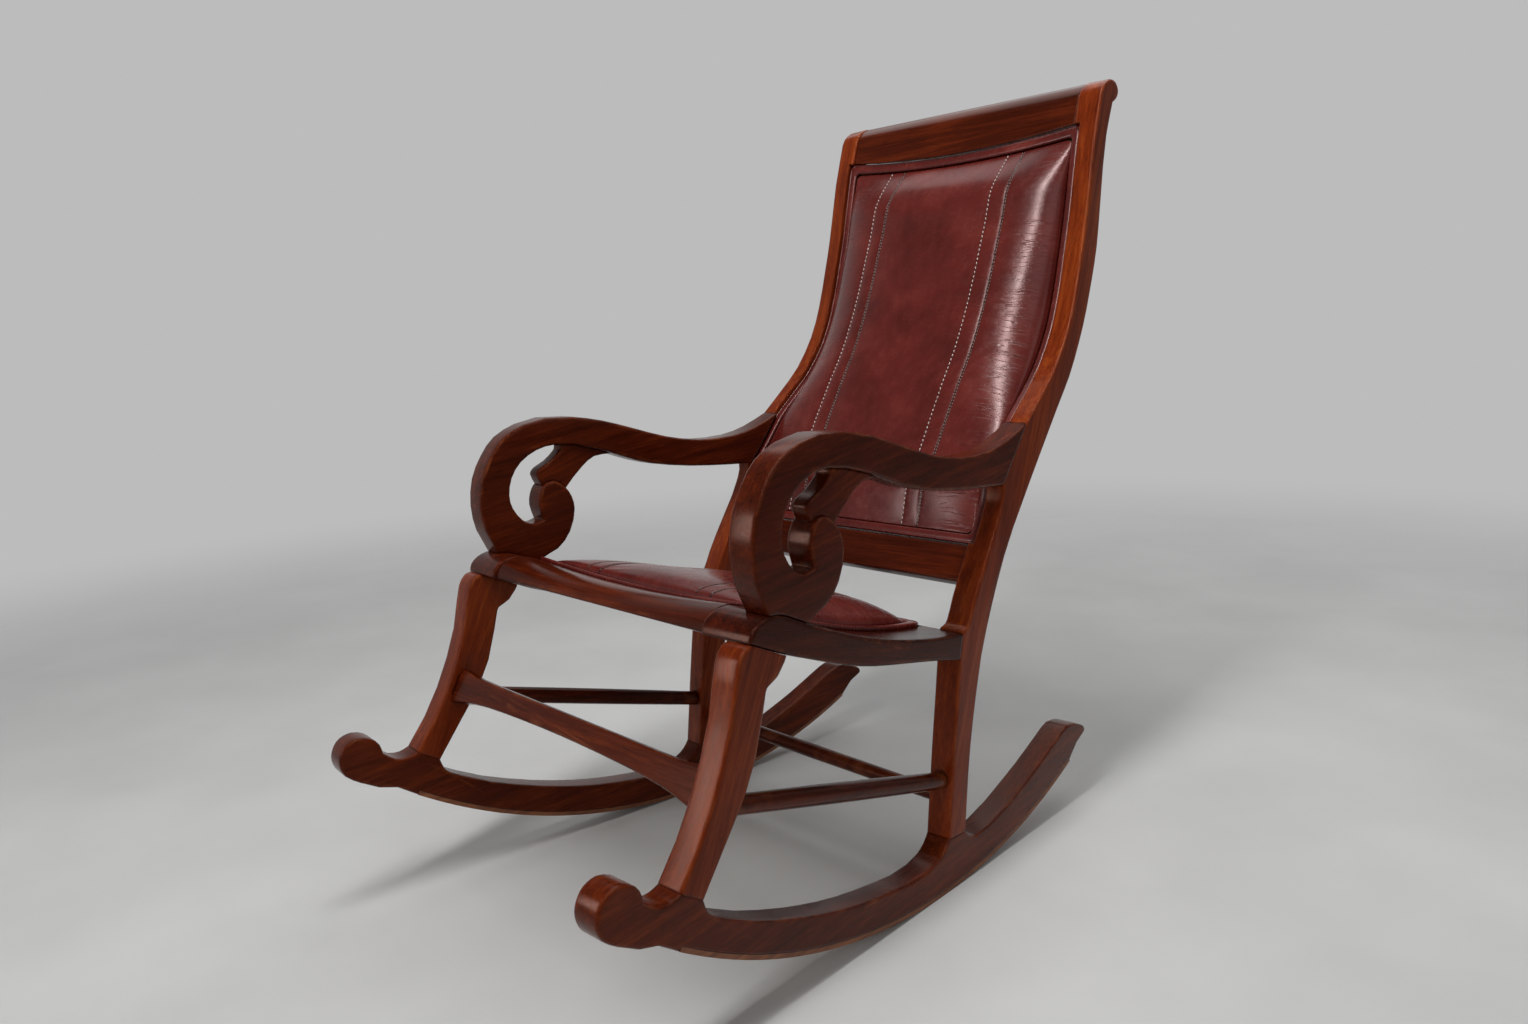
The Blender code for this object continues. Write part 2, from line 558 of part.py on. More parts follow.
# seat frame between the side rails
rail_run = loop_of(smooth(RAIL_NOSE), [(SEAT_FRONT_Y - 0.002, seat_z(SEAT_FRONT_Y - 0.002))])
front_back_y = SEAT_FRONT_Y + 0.012
rail_slope = (RAIL_NOSE[0][1] - RAIL_UNDER[-1][1]) / (RAIL_NOSE[0][0] - RAIL_UNDER[-1][0])
front_low = RAIL_NOSE[0][1] + rail_slope * (front_back_y - RAIL_NOSE[0][0])
front_section = loop_of(rail_run, [(front_back_y, seat_z(front_back_y)), (front_back_y, front_low)])
front_sections = []
for share in (-1, -0.8, -0.55, -0.28, 0, 0.28, 0.55, 0.8, 1):
    section = []
    for p in front_section:
        x = share * (inside(p.x, RAIL_WIDTH) - GAP)
        upper = min(max((p.y - RAIL_NOSE[0][1]) / (RAIL_NOSE[2][1] - RAIL_NOSE[0][1]), 0), 1)
        section.append((x, p.x, p.y - upper * front_dip(x, p.x)))
    front_sections.append(section)
front_rail = add("seat_front_rail", loft("seat_front_rail", front_sections), mahogany, body)
rear_top = seat_z(SEAT_END_Y)
rear_section = [(SEAT_BACK_Y - 0.034, rear_top), (SEAT_END_Y, rear_top),
                (SEAT_END_Y - 0.004, rear_top - 0.034), (SEAT_BACK_Y - 0.034, rear_top - 0.034)]
rear_rail = add("seat_rear_rail", loft("seat_rear_rail", [
    [(s * (inside(y, RAIL_WIDTH) - GAP), y, z) for y, z in rear_section] for s in (-1, 1)]), mahogany, body)


def rows_between(v0, v1, grid, near=()):
    # rows of a sheet: its two edges, rows close to them, and the shared grid in between
    margin = max(near, default=0) + 0.004
    rows = [v0, v1] + [v0 + n for n in near] + [v1 - n for n in near]
    return sorted(rows + [v for v in grid if v0 + margin < v < v1 - margin])


def seat_point(x, y, h):
    return Vector((x, y, seat_z(y) - front_dip(x, y) + h))


def seat_slab(name, low, high, grow, front, back, half):
    # a sheet that follows the dished seat between two heights above the seat line
    sections = []
    for y in rows_between(front, back, SEAT_GRID):
        w = half(y) + grow
        xs = [w * share for share in (-1, -0.6, -0.3, 0, 0.3, 0.6, 1)]
        upper = [seat_point(x, y, high) for x in xs]
        lower = [seat_point(x, y, low) for x in xs]
        sections.append(upper + lower[::-1])
    return loft(name, sections, len(upper))


def well_half(y):
    return inside(y, RAIL_SHOW)


SEAT_GRID = [SEAT_FRONT_Y + (SEAT_BACK_Y - SEAT_FRONT_Y) * i / SEAT_ROWS for i in range(SEAT_ROWS + 1)]


well_mesh = seat_slab("seat_well", -LEDGE, 0.05, 0, SEAT_FRONT_Y, SEAT_BACK_Y, well_half)
well = cutter("seat_well", well_mesh, body)
for piece in (frame["seat_side_rail_left"], frame["seat_side_rail_right"], front_rail, rear_rail):
    cut(piece, well)
panel_low = -LEDGE + GAP
seat_panel = add("seat_panel", seat_slab("seat_panel", panel_low, panel_low + PANEL, -PAD_CLEAR, SEAT_FRONT_Y
                 + PAD_CLEAR, SEAT_BACK_Y - PAD_CLEAR, well_half), plywood, body)
SEAT_BED = panel_low + PANEL + GAP

# the posts' front line carries the back upholstery: distance along it, then height off it
spine = loop_of(smooth(POST_WAIST), [POST_ARM[1]], smooth(POST_BACKREST))
spine = [p for p in spine]
reach = [0.0]
for a, b in zip(spine, spine[1:]):
    reach.append(reach[-1] + (b - a).length)


def spine_at(s):
    for i in range(len(spine) - 1):
        if s <= reach[i + 1] or i == len(spine) - 2:
            t = (s - reach[i]) / (reach[i + 1] - reach[i])
            return spine[i] + (spine[i + 1] - spine[i]) * t


def spine_frame(s):
    ahead, behind = spine_at(s + 0.02), spine_at(s - 0.02)
    along = (ahead - behind).normalized()
    centre = (spine_at(s - 0.012) + spine_at(s) + spine_at(s + 0.012)) / 3
    return centre, Vector((-along.y, along.x))


def spine_reach(z):
    for i in range(len(spine) - 1):
        if spine[i].y <= z <= spine[i + 1].y:
            return reach[i] + (reach[i + 1] - reach[i]) * (z - spine[i].y) / (spine[i + 1].y - spine[i].y)
    return reach[-1]


LOW_S = [spine_reach(z) for z in RAIL_LOW_S]
BACK_S0 = LOW_S[1] + 3 * PAD_CLEAR
BACK_S1 = spine_reach(CREST_LOW_Z) - 2 * PAD_CLEAR


# the lowest span, where the posts curve most, has a row more
BACK_GRID = [BACK_S0 + (BACK_S1 - BACK_S0) * i / BACK_ROWS for i in (0, 0.55, *range(1, BACK_ROWS + 1))]


def back_point(x, s, h):
    # the top of the back follows the crest, so its rows slide down towards the middle
    share = (s - BACK_S0) / (BACK_S1 - BACK_S0)
    slid = s - share * CREST_DROP * max(1 - (x / back_half(s)) ** 2, 0)
    centre, out = spine_frame(slid)
    spot = centre + out * h
    return Vector((x, spot.x, spot.y))


def back_width(s, depth):
    return min(inside(spine_frame(s)[0].x + 0.02, depth), inside(spine_frame(s)[0].x, depth))


def back_half(s):
    return back_width(s, BACK_SHOW) - PAD_CLEAR


def lining_half(s):
    # the lining stops between the posts
    return back_width(s, STOCK) - PAD_CLEAR


# the panel is let into the posts' fronts
rebate_sections = []
rebate_low = BACK_BED - 2 * GAP - WEBBING
for s in [BACK_S0 - PAD_CLEAR] + BACK_GRID[1:-1] + [BACK_S1 + PAD_CLEAR]:
    w = back_width(s, BACK_SHOW)
    centre, out = spine_frame(s)
    low, high = centre + out * rebate_low, centre + out * 0.012
    rebate_sections.append([(-w, low.x, low.y), (w, low.x, low.y), (w, high.x, high.y), (-w, high.x, high.y)])
rebate = cutter("back_rebate", loft("back_rebate", rebate_sections), body)
for label in sides:
    cut(frame["rear_post_" + label], rebate)


# crest: the posts' rolled head carried across, deeper in the middle
head = loop_of(smooth(ROLL), smooth(ROLL_BACK))
spans = 8
crest_sections = []
for i in range(spans + 1):
    share = 2 * i / spans - 1
    section = []
    for p in head:
        x = share * (inside(p.x, STOCK) - GAP)
        low = p.y < CREST_LOW_Z + 0.001
        drop = CREST_DROP * (1 - share ** 2) if low else 0
        thinned = CREST_BACK if p.x > 0.45 and p.y < ROLL[-1][1] + 0.0015 else 0
        section.append((x, p.x - 0.25 * drop - thinned, p.y - drop))
    crest_sections.append(section)
crest = add("crest_rail", loft("crest_rail", crest_sections), mahogany, body)

# lower back rail: a board between the posts with a tongue at each end
low_mid = (LOW_S[0] + LOW_S[1]) / 2
low_centre, low_out = spine_frame(low_mid)
low_up = Vector((low_out.y, -low_out.x))
low_half = (LOW_S[1] - LOW_S[0]) / 2
low_mid_y = low_centre.x + 0.012
LOW_TONGUE = 0.012


def low_end(s):
    return inside(low_mid_y + low_up.x * s + 0.010, STOCK) - 2 * GAP


low_loop = loop_of(
    [(-low_end(-low_half), -low_half), (low_end(-low_half), -low_half), (low_end(-LOW_TONGUE), -LOW_TONGUE),
     (low_end(0) + TONGUE, -LOW_TONGUE), (low_end(0) + TONGUE, LOW_TONGUE), (low_end(LOW_TONGUE), LOW_TONGUE),
     (low_end(low_half), low_half), (-low_end(low_half), low_half), (-low_end(LOW_TONGUE), LOW_TONGUE),
     (-low_end(0) - TONGUE, LOW_TONGUE), (-low_end(0) - TONGUE, -LOW_TONGUE),
     (-low_end(-LOW_TONGUE), -LOW_TONGUE)])
low_base = low_centre + low_out * (BACK_SET - LOW_RAIL_THICK / 2)
low_place = Matrix(((1, 0, 0, 0), (0, low_up.x, low_out.x, low_base.x), (0, low_up.y, low_out.y, low_base.y),
                    (0, 0, 0, 1)))


def long_edges(p, q):
    return abs(abs(p.y) - low_half) > 1e-4 or abs(abs(q.y) - low_half) > 1e-4 or abs(p.x - q.x) < 0.1


low_mesh = flat("lower_back_rail", low_loop, LOW_RAIL_THICK, low_place, 0.003, long_edges)
low_rail = add("lower_back_rail", low_mesh, mahogany, body)
low_slot = block("low_slot", (2 * (low_end(0) + TONGUE) + 4 * GAP, 2 * LOW_TONGUE + 4 * GAP,
                              LOW_RAIL_THICK + 4 * GAP))
low_slot.transform(low_place)
slot = cutter("low_rail_slot", low_slot, body)
for label in sides:
    cut(frame["rear_post_" + label], slot)

# front stretcher: a flat board that widens towards the legs
board_normal = Vector((-BOARD_RISE.y, BOARD_RISE.x))


def board_end(s):
    return inside(BOARD_AT.x + BOARD_RISE.x * s + 0.014, STOCK) - 2 * GAP


board_tongue = 0.013
top_run = smooth([(-board_end(BOARD_END), BOARD_END),
                  (-board_end(0) + BOARD_FLARE * 0.45, BOARD_MID_TOP + 0.0004),
                  (-board_end(0) + BOARD_FLARE * 1.4, BOARD_MID_TOP), (0, BOARD_MID_TOP),
                  (board_end(0) - BOARD_FLARE * 1.4, BOARD_MID_TOP),
                  (board_end(0) - BOARD_FLARE * 0.45, BOARD_MID_TOP + 0.0004),
                  (board_end(BOARD_END), BOARD_END)])
low_run = smooth([(board_end(-BOARD_END), -BOARD_END), (board_end(0) - BOARD_FLARE * 0.4, -0.0165),
                  (board_end(0) - BOARD_FLARE, BOARD_MID_LOW - 0.003),
                  (board_end(0) - BOARD_FLARE * 1.9, BOARD_MID_LOW),
                  (0, BOARD_MID_LOW + 0.0012), (-board_end(0) + BOARD_FLARE * 1.9, BOARD_MID_LOW),
                  (-board_end(0) + BOARD_FLARE, BOARD_MID_LOW - 0.003),
                  (-board_end(0) + BOARD_FLARE * 0.4, -0.0165), (-board_end(-BOARD_END), -BOARD_END)])
right_tongue = [(board_end(board_tongue), board_tongue), (board_end(0) + BOARD_TONGUE, board_tongue),
                (board_end(0) + BOARD_TONGUE, -board_tongue), (board_end(-board_tongue), -board_tongue)]
left_tongue = [(-x, -s) for x, s in right_tongue]
board_loop = loop_of(top_run, right_tongue, low_run, left_tongue)
board_base = BOARD_AT - board_normal * (BOARD_THICK / 2 - 0.004)
board_place = Matrix(((1, 0, 0, 0), (0, BOARD_RISE.x, board_normal.x, board_base.x),
                      (0, BOARD_RISE.y, board_normal.y, board_base.y), (0, 0, 0, 1)))


def board_square(p, q):
    return min(abs(p.x), abs(q.x)) > board_end(0) - 0.003


front_stretcher = add("front_stretcher", flat("front_stretcher", board_loop, BOARD_THICK, board_place, 0.003,
                                              board_square), mahogany, body)
mortise = block("mortise", (2 * (board_end(0) + BOARD_TONGUE) + 4 * GAP, 2 * board_tongue + 4 * GAP,
                            BOARD_THICK + 4 * GAP))
mortise.transform(board_place)
mortise = cutter("board_mortise", mortise, body)
for label in sides:
    cut(frame["front_leg_" + label], mortise)

# side stretchers: round rods, a little fuller at mid length, tenoned into leg and post
span = ROD_TO - ROD_FROM
rod_long = span.length
rod_turn = math.atan2(span.x, span.y)
swell = []
for i in range(6):
    z = rod_long * (1 - i / 5)
    swell.append((ROD_RADIUS * (0.90 + 0.10 * math.sin(math.pi * (0.1 + 0.8 * i / 5))), z))
rod_profile = [(0, rod_long + ROD_TENON), (ROD_TENON_RADIUS, rod_long + ROD_TENON),
               (ROD_TENON_RADIUS, rod_long)] + swell + [
               (ROD_TENON_RADIUS, 0), (ROD_TENON_RADIUS, -ROD_TENON), (0, -ROD_TENON)]
for label in sides:
    stretcher = turned("side_stretcher_" + label, rod_profile, 16, sides[label], mahogany)
    stretcher.location = in_side(label, ROD_FROM.x, ROD_FROM.y, STOCK / 2)
    stretcher.rotation_euler = (-rod_turn, 0, 0)
    for name, z, piece in (("front", -0.001, "front_leg_"), ("back", rod_long + 0.001, "rear_post_")):
        # the rod's round end is let in a little, so the shoulder meets the sloping face all round
        hole_long = ROD_TENON + 0.001 + GAP
        middle = z - hole_long / 2 + 0.001 if name == "front" else z + hole_long / 2 - 0.001
        hole = rod("hole", ROD_TENON_RADIUS + GAP, hole_long, 16)
        hole.transform(Matrix.Translation((0, 0, middle)))
        socket = rod("socket", ROD_RADIUS + 2 * GAP, 0.02, 16)
        socket.transform(Matrix.Translation((0, 0, 0.01 - GAP if name == "front" else rod_long - 0.01 + GAP)))
        for tool_mesh, kind in ((hole, "tenon_hole_"), (socket, "rod_socket_")):
            tool = cutter(kind + name + "_" + label, tool_mesh, sides[label],
                          in_side(label, ROD_FROM.x, ROD_FROM.y, STOCK / 2))
            tool.rotation_euler = (-rod_turn, 0, 0)
            cut(frame[piece + label], tool)

# rear stretcher between the posts
rear_end = inside(REAR_ROD_AT.x + REAR_ROD_RADIUS, STOCK) - GAP
rear_profile = [(0, rear_end + ROD_TENON), (REAR_ROD_TENON_RADIUS, rear_end + ROD_TENON),
                (REAR_ROD_TENON_RADIUS, rear_end), (REAR_ROD_RADIUS * 0.92, rear_end), (REAR_ROD_RADIUS, 0),
                (REAR_ROD_RADIUS * 0.92, -rear_end), (REAR_ROD_TENON_RADIUS, -rear_end),
                (REAR_ROD_TENON_RADIUS, -rear_end - ROD_TENON), (0, -rear_end - ROD_TENON)]
rear_rod = turned("rear_stretcher", rear_profile, 16, body, mahogany)
rear_rod.location = (0, REAR_ROD_AT.x, REAR_ROD_AT.y)
rear_rod.rotation_euler = (0, math.pi / 2, 0)
rear_hole_mesh = rod("rear_hole", REAR_ROD_TENON_RADIUS + GAP, 2 * (rear_end + ROD_TENON + GAP), 16)
rear_hole = cutter("rear_rod_hole", rear_hole_mesh, body, (0, REAR_ROD_AT.x, REAR_ROD_AT.y))
rear_hole.rotation_euler = (0, math.pi / 2, 0)
for label in sides:
    cut(frame["rear_post_" + label], rear_hole)


def rounded_in(distance):
    # how far a corner of radius PAD_CORNER draws in at a distance from the end
    if distance >= PAD_CORNER:
        return 0
    return PAD_CORNER - math.sqrt(PAD_CORNER ** 2 - (PAD_CORNER - distance) ** 2)


def bulge(q, power):
    return math.sqrt(max(1 - min(abs(q), 1) ** power, 0))


def fall(distance, length):
    return math.sin(math.pi / 2 * min(max(distance / length, 0), 1)) ** 1.2


def seat_crown(y, v0, v1):
    share = 2 * (y - v0) / (v1 - v0) - 1
    return SEAT_CROWN * (1 + SEAT_FULLER * share) * bulge(share, BACK_POWER)


crown_keys = [Vector((spine_reach(z), height)) for z, height in BACK_CROWN]


def back_crown(s, v0, v1):
    ends = [2 * crown_keys[0] - crown_keys[1]] + crown_keys + [2 * crown_keys[-1] - crown_keys[-2]]
    height = crown_keys[-1].y
    for p0, p1, p2, p3 in zip(ends, ends[1:], ends[2:], ends[3:]):
        if p1.x <= s <= p2.x:
            height = curve_point(p0, p1, p2, p3, (s - p1.x) / (p2.x - p1.x)).y
    return height * fall(s - v0, BACK_ROUND[0]) * fall(v1 - s, BACK_ROUND[1])


def columns(w, seams):
    # places across a pad: close together at the edges and at the seams
    if seams:
        half = [0, 0.047]
        for seam in SEAMS:
            half += [seam - SEAM_HALF, seam, seam + SEAM_HALF]
        half += [half[-1] + (w - half[-1]) * t for t in (0.45, 0.75, 0.90, 0.97, 1)]
    else:
        half = [w * share for share in (0, 0.40, 0.74, 0.90, 1)]
    return [-x for x in reversed(half[1:])] + half


def pad_form(name, point, half, v0, v1, grid, bed, lip, crown, power, seams, draw=0.0012):
    # a crowned pad: sides drawn in below its lip, furrows along the seams, flat where it lies
    sections = []
    for v in rows_between(v0, v1, grid, (0.0025, PAD_CORNER)):
        w = half(v) - rounded_in(min(v - v0, v1 - v))
        rise = bulge(2 * (v - v0) / (v1 - v0) - 1, BACK_POWER)
        top = []
        for x in columns(w, seams):
            h = lip + crown(v, v0, v1) * bulge(x / w, power)
            for seam in SEAMS if seams else ():
                h -= SEAM_DEEP * rise * max(1 - abs(abs(x) - seam) / SEAM_HALF, 0)
            top.append(point(x, v, h))
        bottom = [point(x * (1 - draw / w), v, bed) for x in columns(w, False)]
        sections.append(top + bottom[::-1])
    return loft(name, sections, len(top))


def welt_ring(name, point, half, v0, v1, grid, low, high):
    # the flat band sewn round a pad, drawn as a ring of sections
    def rim(inset, corner, height):
        points = []
        a, b = v0 + inset, v1 - inset
        edge = [i / 10 for i in range(11)]
        side = [a + corner] + [v for v in grid if v0 + 0.020 < v < v1 - 0.020] + [b - corner]
        w0 = half(a) - inset - corner
        w1 = half(b) - inset - corner
        for t in edge:
            points.append((-w0 + 2 * w0 * t, a))
        for i in (1, 2):
            turn = math.pi / 2 * i / 3
            points.append((w0 + corner * math.sin(turn), a + corner * (1 - math.cos(turn))))
        for v in side:
            points.append((half(v) - inset, v))
        for i in (1, 2):
            turn = math.pi / 2 * i / 3
            points.append((w1 + corner * math.cos(turn), b - corner * (1 - math.sin(turn))))
        for t in edge:
            points.append((w1 - 2 * w1 * t, b))
        for i in (1, 2):
            turn = math.pi / 2 * i / 3
            points.append((-w1 - corner * math.sin(turn), b - corner * (1 - math.cos(turn))))
        for v in reversed(side):
            points.append((-half(v) + inset, v))
        for i in (1, 2):
            turn = math.pi / 2 * i / 3
            points.append((-w0 - corner * math.cos(turn), a + corner * (1 - math.sin(turn))))
        return [point(x, v, height) for x, v in points]

    outer_low = rim(0, WELT_CORNER + 0.006, low)
    outer_high = rim(0.0006, WELT_CORNER + 0.006, high - 0.001)
    outer_top = rim(0.0020, WELT_CORNER + 0.005, high)
    inner_top = rim(BAND - 0.0015, WELT_CORNER, high)
    inner_high = rim(BAND, WELT_CORNER, high - 0.0015)
    inner_low = rim(BAND, WELT_CORNER, low)
    sections = list(zip(outer_low, outer_high, outer_top, inner_top, inner_high, inner_low))
    return loft(name, sections, "ring")


def seat_half(y):
    return well_half(y) - PAD_CLEAR


def seat_pad_half(y):
    return seat_half(y) - BAND - GAP


def back_pad_half(s):
    return back_half(s) - BAND - GAP


seat_v = (SEAT_FRONT_Y + PAD_CLEAR, SEAT_BACK_Y - PAD_CLEAR)
back_v = (BACK_S0, BACK_S1)
inner = BAND + PAD_CLEAR + GAP
for key, point, half, pad_half, (v0, v1), grid, bed, lip, welt_top, crown, power, fill in (
        ("seat", seat_point, seat_half, seat_pad_half, seat_v, SEAT_GRID, SEAT_BED, SEAT_LIP,
         SEAT_LIP + 0.001, seat_crown, SEAT_POWER, SEAT_FILL),
        ("back", back_point, back_half, back_pad_half, back_v, BACK_GRID, BACK_BED, BACK_SET - 0.004,
         BACK_SET, back_crown, BACK_POWER, BACK_FILL)):
    add(key + "_welt", welt_ring(key + "_welt", point, half, v0, v1, grid, bed, welt_top), leather, body)
    pad_mesh = pad_form(key + "_pad", point, pad_half, v0 + inner, v1 - inner, grid, bed, lip, crown, power,
                        True)
    pad = add(key + "_pad", pad_mesh, leather, body)

    def foam_half(v):
        return pad_half(v) - FOAM_IN

    def hollow_half(v):
        return pad_half(v) - FOAM_IN + FOAM_ROOM

    def foam_crown(v, start, end):
        return fill * bulge(2 * (v - start) / (end - start) - 1, BACK_POWER)

    def hollow_crown(v, start, end):
        return crown(v, start, end) - 0.0012 * bulge(2 * (v - start) / (end - start) - 1, BACK_POWER)

    f0, f1 = v0 + inner + FOAM_IN, v1 - inner - FOAM_IN
    foam_lip = bed + 0.0015
    foam_mesh = pad_form(key + "_foam", point, foam_half, f0, f1, grid, bed, foam_lip, foam_crown, BACK_POWER,
                         False)
    add(key + "_foam", foam_mesh, foam, body)
    hollow = pad_form(key + "_hollow", point, hollow_half, f0 - FOAM_ROOM, f1 + FOAM_ROOM, grid, bed - 0.002,
                      lip - SKIN, hollow_crown, power, False)
    cut(pad, cutter(key + "_hollow", hollow, body))


def back_sheet(name, low, high, half):
    sections = []
    for s in rows_between(BACK_S0, BACK_S1, BACK_GRID):
        w = half(s)
        xs = [w * share for share in (-1, -0.67, -0.36, 0, 0.36, 0.67, 1)]
        upper = [back_point(x, s, high) for x in xs]
        lower = [back_point(x, s, low) for x in xs]
        sections.append(upper + lower[::-1])
    return loft(name, sections, len(upper))


web_mesh = back_sheet("back_webbing", BACK_BED - GAP - WEBBING, BACK_BED - GAP, back_half)
add("back_webbing", web_mesh, webbing, body)
lining_top = BACK_BED - 2 * GAP - WEBBING
lining_mesh = back_sheet("back_lining", lining_top - LINING, lining_top, lining_half)
add("back_lining", lining_mesh, lining, body)

# corner blocks glued under the seat panel
LEG_OF_BLOCK = 0.045
BLOCK_HIGH = 0.012
for label, sign in (("left", 1), ("right", -1)):
    for end, y, way in (("front", front_back_y + GAP, 1), ("back", SEAT_BACK_Y - 0.034 - GAP, -1)):
        deep = y + way * LEG_OF_BLOCK
        corner = inside(y, RAIL_WIDTH) - GAP
        along = inside(deep, RAIL_WIDTH) - GAP
        sunk = front_dip(corner - LEG_OF_BLOCK, y)
        under = min(seat_z(y), seat_z(deep)) - sunk - LEDGE - GAP - BLOCK_HIGH / 2
        loop = [(sign * corner, y), (sign * along, deep), (sign * (corner - LEG_OF_BLOCK), y)]
        prism = flat("corner_block", loop, BLOCK_HIGH, Matrix.Translation((0, 0, under)), 0)
        add("corner_block_" + end + "_" + label, prism, beech, body)


def dowel(name, label, at, along, inset, pieces):
    # a peg in the plane of a side frame, half in each of two pieces
    along = Vector(along).normalized()
    angle = math.atan2(along.x, along.y)
    bore = rod("bore", DOWEL_RADIUS + GAP, DOWEL_LONG + 4 * GAP, DOWEL_SIDES)
    tool = cutter(name + "_bore_" + label, bore, sides[label], in_side(label, at[0], at[1], inset))
    tool.rotation_euler = (-angle, 0, 0)
    peg = add(name + "_" + label, rod("dowel", DOWEL_RADIUS, DOWEL_LONG, DOWEL_SIDES), beech, sides[label],
              in_side(label, at[0], at[1], inset))
    peg.rotation_euler = (-angle, 0, 0)
    for piece in pieces:
        cut(piece, tool)


def cross_dowel(name, label, at, pieces, depth):
    # a peg across a side frame's inner face
    sign = 1 if label == "left" else -1
    bore = rod("bore", DOWEL_RADIUS + GAP, DOWEL_LONG + 4 * GAP, DOWEL_SIDES)
    tool = cutter(name + "_bore_" + label, bore, sides[label], in_side(label, at[0], at[1], depth))
    tool.rotation_euler = (0, sign * math.pi / 2, 0)
    peg = add(name + "_" + label, rod("dowel", DOWEL_RADIUS, DOWEL_LONG, DOWEL_SIDES), beech, sides[label],
              in_side(label, at[0], at[1], depth))
    peg.rotation_euler = (0, sign * math.pi / 2, 0)
    for piece in pieces:
        cut(piece, tool)


def between(ends, share):
    a, b = Vector(ends[0]), Vector(ends[-1])
    return a + (b - a) * share


def square_to(ends):
    along = Vector(ends[-1]) - Vector(ends[0])
    return Vector((-along.y, along.x))


foot_up = square_to(leg_head)
for label in sides:
    rocker, leg = frame["rocker_" + label], frame["front_leg_" + label]
    post, arm, rail = frame["rear_post_" + label], frame["arm_" + label], frame["seat_side_rail_" + label]
    for number, share, up_arm in ((1, 0.28, 0.22), (2, 0.72, 0.54)):
        at_leg, at_post = between(LEG_SEAT, share), between(post_foot, share)
        at_arm = between(POST_ARM, up_arm)
        dowel("leg_dowel_%d" % number, label, at_leg, square_to(LEG_SEAT), STOCK / 2, (rocker, leg))
        dowel("post_dowel_%d" % number, label, at_post, (0, 1), STOCK / 2, (rocker, post))
        dowel("arm_dowel_%d" % number, label, at_arm, square_to(POST_ARM), STOCK / 2, (arm, post))
    for number, spot in enumerate(((0.4570, CREST_LOW_Z + 0.0190), (0.4730, CREST_LOW_Z + 0.0455)), 1):
        cross_dowel("crest_dowel_%d" % number, label, spot, (post, crest), STOCK)
    dowel("leg_top_dowel", label, between(leg_head, 0.62), foot_up, STOCK / 2, (leg, rail))
    dowel("arm_foot_dowel", label, (-0.1900, on_rail(-0.1900)), (0.28, 1), STOCK / 2, (arm, rail))
    dowel("post_rail_dowel", label, between(POST_RAIL, 0.55), square_to(POST_RAIL), STOCK / 2, (post, rail))
    cross_dowel("front_rail_dowel", label, (-0.2240, 0.3980), (rail, front_rail), RAIL_WIDTH)

# stand the settled chair with the middle of its footprint over the origin
bpy.context.view_layer.update()
graph = bpy.context.evaluated_depsgraph_get()
corners = []
for obj in parts.objects:
    if obj.type == "MESH":
        shape = obj.evaluated_get(graph)
        corners += [shape.matrix_world @ vert.co for vert in shape.data.vertices]
centre_y = (min(c.y for c in corners) + max(c.y for c in corners)) / 2
floor = min(c.z for c in corners)
chair.location -= Vector((0, centre_y, floor))
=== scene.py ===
import math
import random

import bmesh
import bpy
from mathutils import Matrix, Vector
from mathutils.bvhtree import BVHTree


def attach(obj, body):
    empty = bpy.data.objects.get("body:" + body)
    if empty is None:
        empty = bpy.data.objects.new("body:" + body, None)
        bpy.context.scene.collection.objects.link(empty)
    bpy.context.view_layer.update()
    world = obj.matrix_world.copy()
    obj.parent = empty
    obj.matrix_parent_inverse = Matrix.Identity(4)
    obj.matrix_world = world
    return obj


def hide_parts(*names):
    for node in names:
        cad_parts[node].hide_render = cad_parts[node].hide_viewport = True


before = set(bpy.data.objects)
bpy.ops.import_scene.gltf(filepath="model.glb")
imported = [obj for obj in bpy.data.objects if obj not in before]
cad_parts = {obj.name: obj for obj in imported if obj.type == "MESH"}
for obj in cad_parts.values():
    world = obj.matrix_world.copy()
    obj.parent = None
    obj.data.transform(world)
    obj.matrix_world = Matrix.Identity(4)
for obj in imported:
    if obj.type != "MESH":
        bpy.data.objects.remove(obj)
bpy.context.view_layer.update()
scene = bpy.context.scene
scene.view_settings.view_transform = "Standard"
print("frame: %d pieces" % len(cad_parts))

# the chair is drawn square and then leans back to where the empty chair comes to rest
chair = {
    "lean": math.radians(4.55),
    "slide": (0, -0.070162, 0.005845),
    "frontWidth": 0.591,            # across the side frames, at legLine
    "legLine": -0.35,
    "toeIn": math.radians(3.55),
    "stock": 0.036,                 # thickness of the side frames
    "band": 0.014,                  # width of the welt round each pad
    "clear": 0.0006,
    "glue": 0.0003,
}
toWorld = Matrix.Translation(chair["slide"]) @ Matrix.Rotation(-chair["lean"], 4, "X")
chairUp = toWorld.to_3x3() @ Vector((0, 0, 1))


def fromHex(code):
    # a screen colour in linear light
    parts = [int(code[i:i + 2], 16) / 255 for i in (1, 3, 5)]
    return tuple(c / 12.92 if c < 0.04045 else ((c + 0.055) / 1.055) ** 2.4 for c in parts) + (1,)


def addNode(tree, kind, inputs=None, **settings):
    # an input is a plain value or another node's output
    node = tree.nodes.new(kind)
    for name, value in settings.items():
        setattr(node, name, value)
    for key, value in (inputs or {}).items():
        if isinstance(value, bpy.types.NodeSocket):
            tree.links.new(value, node.inputs[key])
        else:
            node.inputs[key].default_value = value
    return node


def addRange(tree, value, source, result, smooth=False):
    limits = zip(("From Min", "From Max", "To Min", "To Max"), (*source, *result))
    node = addNode(tree, "ShaderNodeMapRange", {"Value": value, **dict(limits)},
                   interpolation_type="SMOOTHSTEP" if smooth else "LINEAR")
    return node.outputs["Result"]


